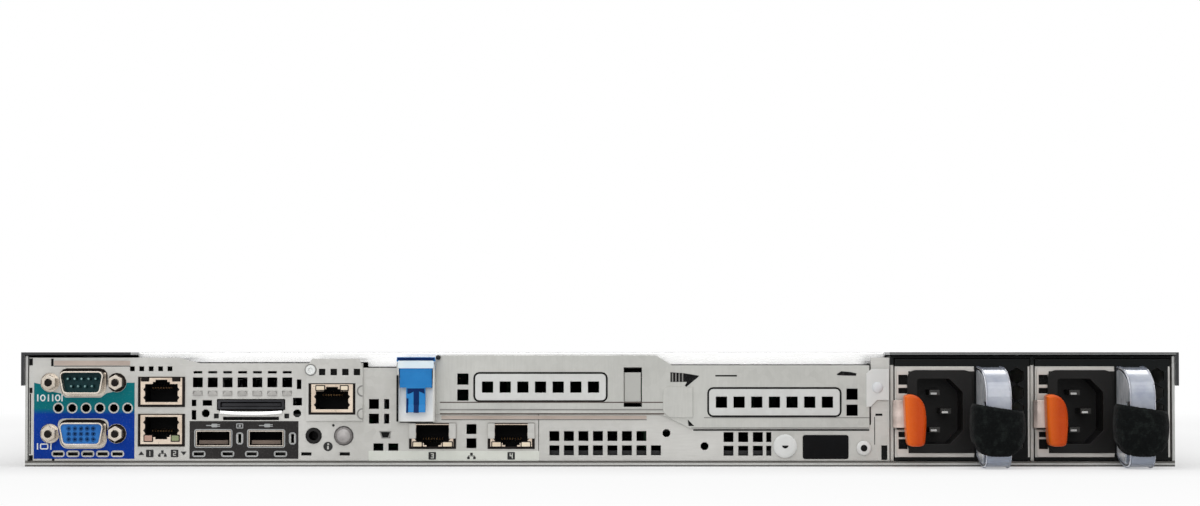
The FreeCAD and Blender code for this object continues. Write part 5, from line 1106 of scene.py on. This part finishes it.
platePiece("namePlate", [roundRect(*rightEnd["name"])], rearY - rightEnd["nameThick"],
           rightEnd["nameThick"], "plateBlack", rightEnd["nameBevel"])
platePiece("postPlate", [rightEnd["post"]], rearY - rightEnd["postLift"], rightEnd["postThick"],
           "plateWhite", rightEnd["postBevel"])
turnedPiece("postRivet", rightEnd["rivet"], rightEnd["rivetSpot"], "powerWhite")
platePiece("postGaps", bars(rightEnd["gaps"]), rearY - rightEnd["gapLift"], filmThick, "ventBlack")

# wall's left end: folded band under the cover in a painted shaded tone, and painted shade in the corner gaps
leftEnd = dict(band=(-190.6, 38.75, 28.6, 1.8, 0.4), gapLift=0.12,
               gaps=((-190.6, 37.6, 28.6, 0.22), (-205.5, 39.0, 0.9, 2.8), (-213.5, 39.2, 1.3, 2.6),
                     (-213.7, 16.0, 0.45, 22.6), (-213.5, 28.5, 1.1, 2.0), (-213.4, 3.2, 1.4, 2.0),
                     (-205.0, 2.55, 0.9, 0.7)))
platePiece("leftBand", [roundRect(*leftEnd["band"])], rearY - foldThick, foldThick, "pinkShade")
platePiece("leftGaps", bars(leftEnd["gaps"]), rearY - leftEnd["gapLift"], filmThick, "ventBlack")

# supplies: painted shade behind the face's holes, painted highlights on the blade tips, bent arm by the
# lever, banded handle
face = dict(holeX=-22.3, holeWide=3.6, holes=((32.5, 3.9), (28.4, 2.3), (12.0, 2.2), (8.4, 3.9)),
            holeLift=0.12, holeThick=0.1, tips=((-10.6, 27.3), (-6.4, 20.3), (-10.6, 13.5)),
            tip=(2.3, 0.75, 0.2), tipIn=1.3, tipThick=0.2, tipBevel=0.05)
lever = dict(reach=13.6, deep=8.4, bevel=1.3, steps=49, armZ=19.7, armTall=10.3, armThick=0.5,
             bean=[(-22.8, 26.4), (-21.6, 27.1), (-19.4, 27.0), (-17.0, 25.6), (-15.3, 22.6), (-14.7, 17.6),
                   (-15.0, 11.6), (-15.6, 8.4), (-18.0, 7.8), (-20.6, 8.0), (-21.9, 9.6), (-22.5, 17.6)],
             arm=[(-24.5, -0.45), (-25.3, -0.8), (-26.2, -2.4), (-26.0, -3.6), (-25.0, -4.3), (-23.6, -4.6),
                  (-22.0, -4.7)])
handle = dict(middle=9.8, wide=9.4, sheet=1.3, steps=60, bead=0.9, beadTall=2.1, web=0.7, webIn=0.1,
              path=[(-0.3, 36.6), (-8.0, 36.5), (-16.0, 35.7), (-23.0, 33.9), (-28.0, 31.2), (-30.6, 28.0),
                    (-31.2, 24.0), (-31.2, 14.0), (-31.2, 7.0), (-30.2, 3.7), (-27.0, 1.75), (-20.0, 1.3),
                    (-10.0, 2.4), (-0.3, 4.6)],
              webs=[[(-0.3, 17.6), (-20.4, 18.0), (-21.2, 24.4), (-29.6, 24.8), (-29.4, 28.0),
                     (-27.2, 30.6), (-22.6, 33.0), (-16.0, 34.9), (-8.0, 35.7), (-0.3, 35.8)],
                    [(-0.3, 5.4), (-10.0, 3.2), (-19.0, 2.0), (-19.6, 4.2), (-14.0, 9.0),
                     (-7.0, 13.4), (-0.3, 15.6)]], webBevel=0.1)
for number, x in enumerate(supplyX, 1):
    body, name = "psu_%d" % number, "psu%d" % number
    holes = [bar(x + face["holeX"], z, face["holeWide"], tall) for z, tall in face["holes"]]
    platePiece(name + "Holes", holes, rearY - face["holeLift"], face["holeThick"], "ventBlack", body=body)
    tips = [roundRect(x + off, z, *face["tip"]) for off, z in face["tips"]]
    platePiece(name + "Tips", tips, rearY + face["tipIn"], face["tipThick"], "plateWhite",
               face["tipBevel"], body=body)
    arm = barMesh(name + "Arm", [(x + u, rearY + v, lever["armZ"]) for u, v in lever["arm"]],
                  lever["armTall"], lever["armThick"], (0.0, 0.0, 1.0))
    addPiece(name + "Arm", arm, "armSteel", body + "_latch")
    bean = smoothPath([(x + u, z) for u, z in lever["bean"] + lever["bean"][:1]], lever["steps"])[0][:-1]
    knob = platePiece(name + "Grip", [bean], rearY - lever["reach"], lever["deep"],
                      "leverOrange%d" % number, lever["bevel"], body=body + "_latch")
    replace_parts(knob, body + "_latch")
    middle = x + handle["middle"]
    path = [(middle, rearY + spot.x, spot.y) for spot in smoothPath(handle["path"], handle["steps"])[0]]
    band = barMesh(name + "Handle", path, handle["wide"], handle["sheet"])
    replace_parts(addPiece(name + "Handle", band, "clearHandle", body), body + "_handle")
    for side, way in ((-1, "Left"), (1, "Right")):  # beads along the band's edges
        edge = [(u + side * (handle["wide"] - handle["bead"]) / 2, v, w) for u, v, w in path]
        bead = barMesh(name + way + "Bead", edge, handle["bead"], handle["beadTall"])
        addPiece(name + way + "Bead", bead, "clearHandle", body)
    platePiece(name + "Webs", [[(rearY + u, w) for u, w in web] for web in handle["webs"]],
               middle - handle["wide"] / 2 + handle["webIn"], handle["web"], "clearWeb", handle["webBevel"],
               body=body, lie="along")
print("rear dressed")

# painted shade in the bores of the jack screws, funnels of the monitor connector in a darker blue as painted
# shade, and tips on the serial connector's pins in a pale teal as painted highlights
dsub = dict(boreSpot=(-206.5, -300.95, 12.1), boreSpan=25.0, boreRise=19.2,
            bore=[(0, -0.06), (1.0, -0.06), (1.3, 0.0), (1.3, 0.04)],
            funnelSpot=(-198.4, -301.7, 10.3), funnelPitch=2.3, funnelRise=2.0,
            funnel=[(0, 0.9), (0.3, 0.88), (0.36, 0.1), (0.8, -0.05), (0.88, 0.0), (0.5, 0.1),
                    (0.46, 0.96)],
            tipY=-301.1, tipPitch=2.6, tip=[(0, -0.5), (0.25, -0.42), (0.42, -0.15), (0.42, 0.1)],
            tipRows=(("pinTipsLow", -197.7, 4, 30.1), ("pinTipsHigh", -199.0, 5, 32.9)))
repeatPiece("jackScrewBores", turnedMesh("screwBore", dsub["bore"], 18), "gasketBlack", dsub["boreSpot"], 2,
            (dsub["boreSpan"], 0.0, 0.0), 2, (0.0, 0.0, dsub["boreRise"]))
repeatPiece("vgaFunnels", turnedMesh("vgaFunnel", dsub["funnel"], 14), "vgaDeep", dsub["funnelSpot"], 5,
            (dsub["funnelPitch"], 0.0, 0.0), 3, (0.0, 0.0, dsub["funnelRise"]))
for name, first, count, z in dsub["tipRows"]:
    repeatPiece(name, turnedMesh(name + "Tip", dsub["tip"], 14), "pinTeal", (first, dsub["tipY"], z), count,
                (dsub["tipPitch"], 0.0, 0.0), smooth=True)

# front: bezels, levers, power button and the blank over the window
frontY = 310.5
drive = dict(ventZ=24.0, ventPitch=12.8, vents=6, fins=3, finPitch=2.2, fin=0.7, finThick=0.5, finIn=1.4,
             finPath=[(0.0, 0.0, -2.7), (0.0, -0.3, 0.0), (0.0, 0.0, 2.7)], lampX=-46.4,
             lamps=(("Green", 25.3), ("Amber", 22.5)), lamp=(4.2, 1.6, 0.6), catchX=38.4,
             catch=(12.6, 12.2, 1.4), catchMark=(6.4, 6.4, 0.5, 1.2), catchDeep=3.5, well=306.5,
             leverZ=11.4, leverFront=309.8, ribX=19.8, ribPitch=1.9, ribs=5, rib=(0.9, 0.7),
             ribPath=[(0.0, 0.0, -4.2), (0.0, 0.15, -3.6), (0.0, 0.15, 3.6), (0.0, 0.0, 4.2)],
             frame=(15.6, 103.6, 27.4, 0.9, 1.6), diskTop=27.7, lid=(229.6, 96.0, 138.0, 7.0), lidThick=0.6,
             spindleY=258.0,
             spindle=[(0, -0.5), (9.0, -0.5), (9.6, -0.9), (11.4, -0.9), (12.0, -0.4), (12.0, 0.0)],
             screw=[(0, -0.25), (0.7, -0.3), (1.0, -0.6), (1.7, -0.5), (2.1, -0.2), (2.1, 0.0)],
             screwX=44.0, screwY=166.0, screwStep=63.5, frameThick=0.35, lampThick=0.3, frontBevel=0.12,
             catchBevel=0.5, lidBevel=0.2)
lidTop = drive["diskTop"] + drive["lidThick"]
for number, x in enumerate(driveX, 1):
    body, name = "drive_%d" % number, "drive%d" % number
    fin = barMesh(name + "Fin", drive["finPath"], drive["fin"], drive["finThick"])
    firstVent = x - drive["ventPitch"] * (drive["vents"] - 1) / 2
    start = (firstVent - drive["finPitch"], frontY - drive["finIn"], drive["ventZ"])
    repeatPiece(name + "Fins", fin, "bezelBlack", start, drive["fins"], (drive["finPitch"], 0.0, 0.0),
                drive["vents"], (drive["ventPitch"], 0.0, 0.0), body)
    platePiece(name + "Frame", frameMark(x, *drive["frame"]), frontY, drive["frameThick"], "bezelBlack",
               drive["frontBevel"], body)
    for kind, z in drive["lamps"]:
        platePiece(name + kind + "Lamp", [roundRect(x + drive["lampX"], z, *drive["lamp"])], frontY,
                   drive["lampThick"], "led" + kind, drive["frontBevel"], body)
    catchX = x + drive["catchX"]
    platePiece(name + "Catch", [roundRect(catchX, drive["leverZ"], *drive["catch"])], drive["well"],
               drive["catchDeep"], "bezelBlack", drive["catchBevel"], body)
    platePiece(name + "CatchMark", frameMark(catchX, drive["leverZ"], *drive["catchMark"]),
               drive["well"] + drive["catchDeep"], filmThick, "greyInk", 0.0, body)
    rib = barMesh(name + "Rib", drive["ribPath"], *drive["rib"])
    start = (x + drive["ribX"], drive["leverFront"], drive["leverZ"])
    repeatPiece(name + "LeverRibs", rib, "leverGrey", start, drive["ribs"], (drive["ribPitch"], 0.0, 0.0),
                body=body + "_handle")
    platePiece(name + "Lid", [roundRect(x, *drive["lid"])], drive["diskTop"], drive["lidThick"],
               "diskAlloy", drive["lidBevel"], body, lie="flat")
    turnedPiece(name + "Spindle", drive["spindle"], (x, drive["spindleY"], lidTop), "diskAlloy", way="top",
                body=body)
    screw = turnedMesh(name + "Screw", drive["screw"], 18, "top")
    repeatPiece(name + "Screws", screw, "screwZinc", (x - drive["screwX"], drive["screwY"], lidTop), 2,
                (2 * drive["screwX"], 0.0, 0.0), 3, (0.0, drive["screwStep"], 0.0), body, smooth=True)
print("drives dressed")

power = dict(x=-196.0, z=37.0, front=311.5, rim=4.5, rimLine=1.3, rimThick=0.5, rimBevel=0.15, sign=1.6,
             line=0.4, gap=34, turn=12, stemUp=0.9, stem=1.6)
platePiece("powerRim", ringMark(power["x"], power["z"], power["rim"], power["rim"], power["rimLine"]),
           frontY, power["rimThick"], "bezelBlack", power["rimBevel"])
sign = arcBand(power["x"], power["z"], power["sign"], power["sign"] - power["line"],
               range(90 + power["gap"], 451 - power["gap"], power["turn"]))
stem = bar(power["x"], power["z"] + power["stemUp"], power["line"], power["stem"])
platePiece("powerSign", [sign, stem], power["front"], filmThick, "darkInk", body="power_button")
blank = dict(x=104.0, z=37.0, wide=129.2, tall=5.2, corner=0.7, back=308.6, thick=1.5, bevel=0.25,
             ribs=24, pitch=4.8, rib=(1.0, 0.5),
             ribPath=[(0.0, 0.0, -1.7), (0.0, 0.15, -1.3), (0.0, 0.15, 1.3), (0.0, 0.0, 1.7)])
platePiece("windowBlank", [roundRect(blank["x"], blank["z"], blank["wide"], blank["tall"],
                                     blank["corner"])],
           blank["back"], blank["thick"], "blackMould", blank["bevel"])
firstRib = blank["x"] - blank["pitch"] * (blank["ribs"] - 1) / 2
repeatPiece("windowRibs", barMesh("blankRib", blank["ribPath"], *blank["rib"]), "bezelBlack",
            (firstRib, blank["back"] + blank["thick"], blank["z"]), blank["ribs"],
            (blank["pitch"], 0.0, 0.0))

# top: ribs and an arrow on the cover's latch, holes in the roofs of the supplies drawn as dark discs of
# painted shade
grip = dict(ribs=5, first=30.4, pitch=2.2, half=13.0, top=42.5, end=1.0, rise=0.05, sink=-0.1, rib=(0.9, 0.4),
            arrow=[(-3.2, 15.0), (3.2, 15.0), (3.2, 20.0), (6.4, 20.0), (0.0, 26.0), (-6.4, 20.0),
                   (-3.2, 20.0)], arrowZ=40.6, arrowThick=0.1)
inner = grip["half"] - grip["end"]
ribPath = [(-grip["half"], 0.0, grip["sink"]), (-inner, 0.0, grip["rise"]), (inner, 0.0, grip["rise"]),
           (grip["half"], 0.0, grip["sink"])]
rib = barMesh("gripRib", ribPath, *grip["rib"], (0.0, 1.0, 0.0))
repeatPiece("latchRibs", rib, "coverBlue", (0.0, grip["first"], grip["top"]), grip["ribs"],
            (0.0, grip["pitch"], 0.0), body="cover_latch")
platePiece("latchArrow", [grip["arrow"]], grip["arrowZ"], grip["arrowThick"], "latchShine",
           body="cover_latch", lie="flat")
roof = dict(z=40.4, first=-110.0, columns=8, rows=7, pitch=4.6, hole=[(0, -0.04), (1.4, -0.04), (1.5, 0.0)])
for number, x in enumerate(supplyX, 1):
    hole = turnedMesh("roofHole", roof["hole"], 12, "top")
    start = (x - roof["pitch"] * (roof["columns"] - 1) / 2, roof["first"], roof["z"])
    repeatPiece("psu%dRoofHoles" % number, hole, "ventBlack", start, roof["columns"],
                (roof["pitch"], 0.0, 0.0), roof["rows"], (0.0, roof["pitch"], 0.0), "psu_%d" % number)

# sides: rivets along the tray's foot and pressed dimples on the cover's flanges
flank = dict(tray=215.6, rivetZ=6.5, rivets=11, first=-270.0, step=54.0,
             rivet=[(0, -0.9), (0.9, -0.85), (1.7, -0.6), (2.3, -0.2), (2.4, 0.0)],
             cover=217.0, dimpleZ=36.4, dimples=5, dimpleFirst=-260.0, dimpleStep=92.0,
             dimple=[(0, -0.15), (2.2, -0.2), (3.0, -0.4), (3.6, -0.25), (4.0, 0.0)])
for way, side in (("left", -1), ("right", 1)):
    rivet = turnedMesh(way + "Rivet", flank["rivet"], 20, way)
    repeatPiece(way + "Rivets", rivet, "screwZinc", (side * flank["tray"], flank["first"], flank["rivetZ"]),
                flank["rivets"], (0.0, flank["step"], 0.0), smooth=True)
    dimple = turnedMesh(way + "Dimple", flank["dimple"], 24, way)
    start = (side * flank["cover"], flank["dimpleFirst"], flank["dimpleZ"])
    repeatPiece(way + "Dimples", dimple, "coverSteel", start, flank["dimples"],
                (0.0, flank["dimpleStep"], 0.0), body="cover", smooth=True)
print("front, top and sides dressed")
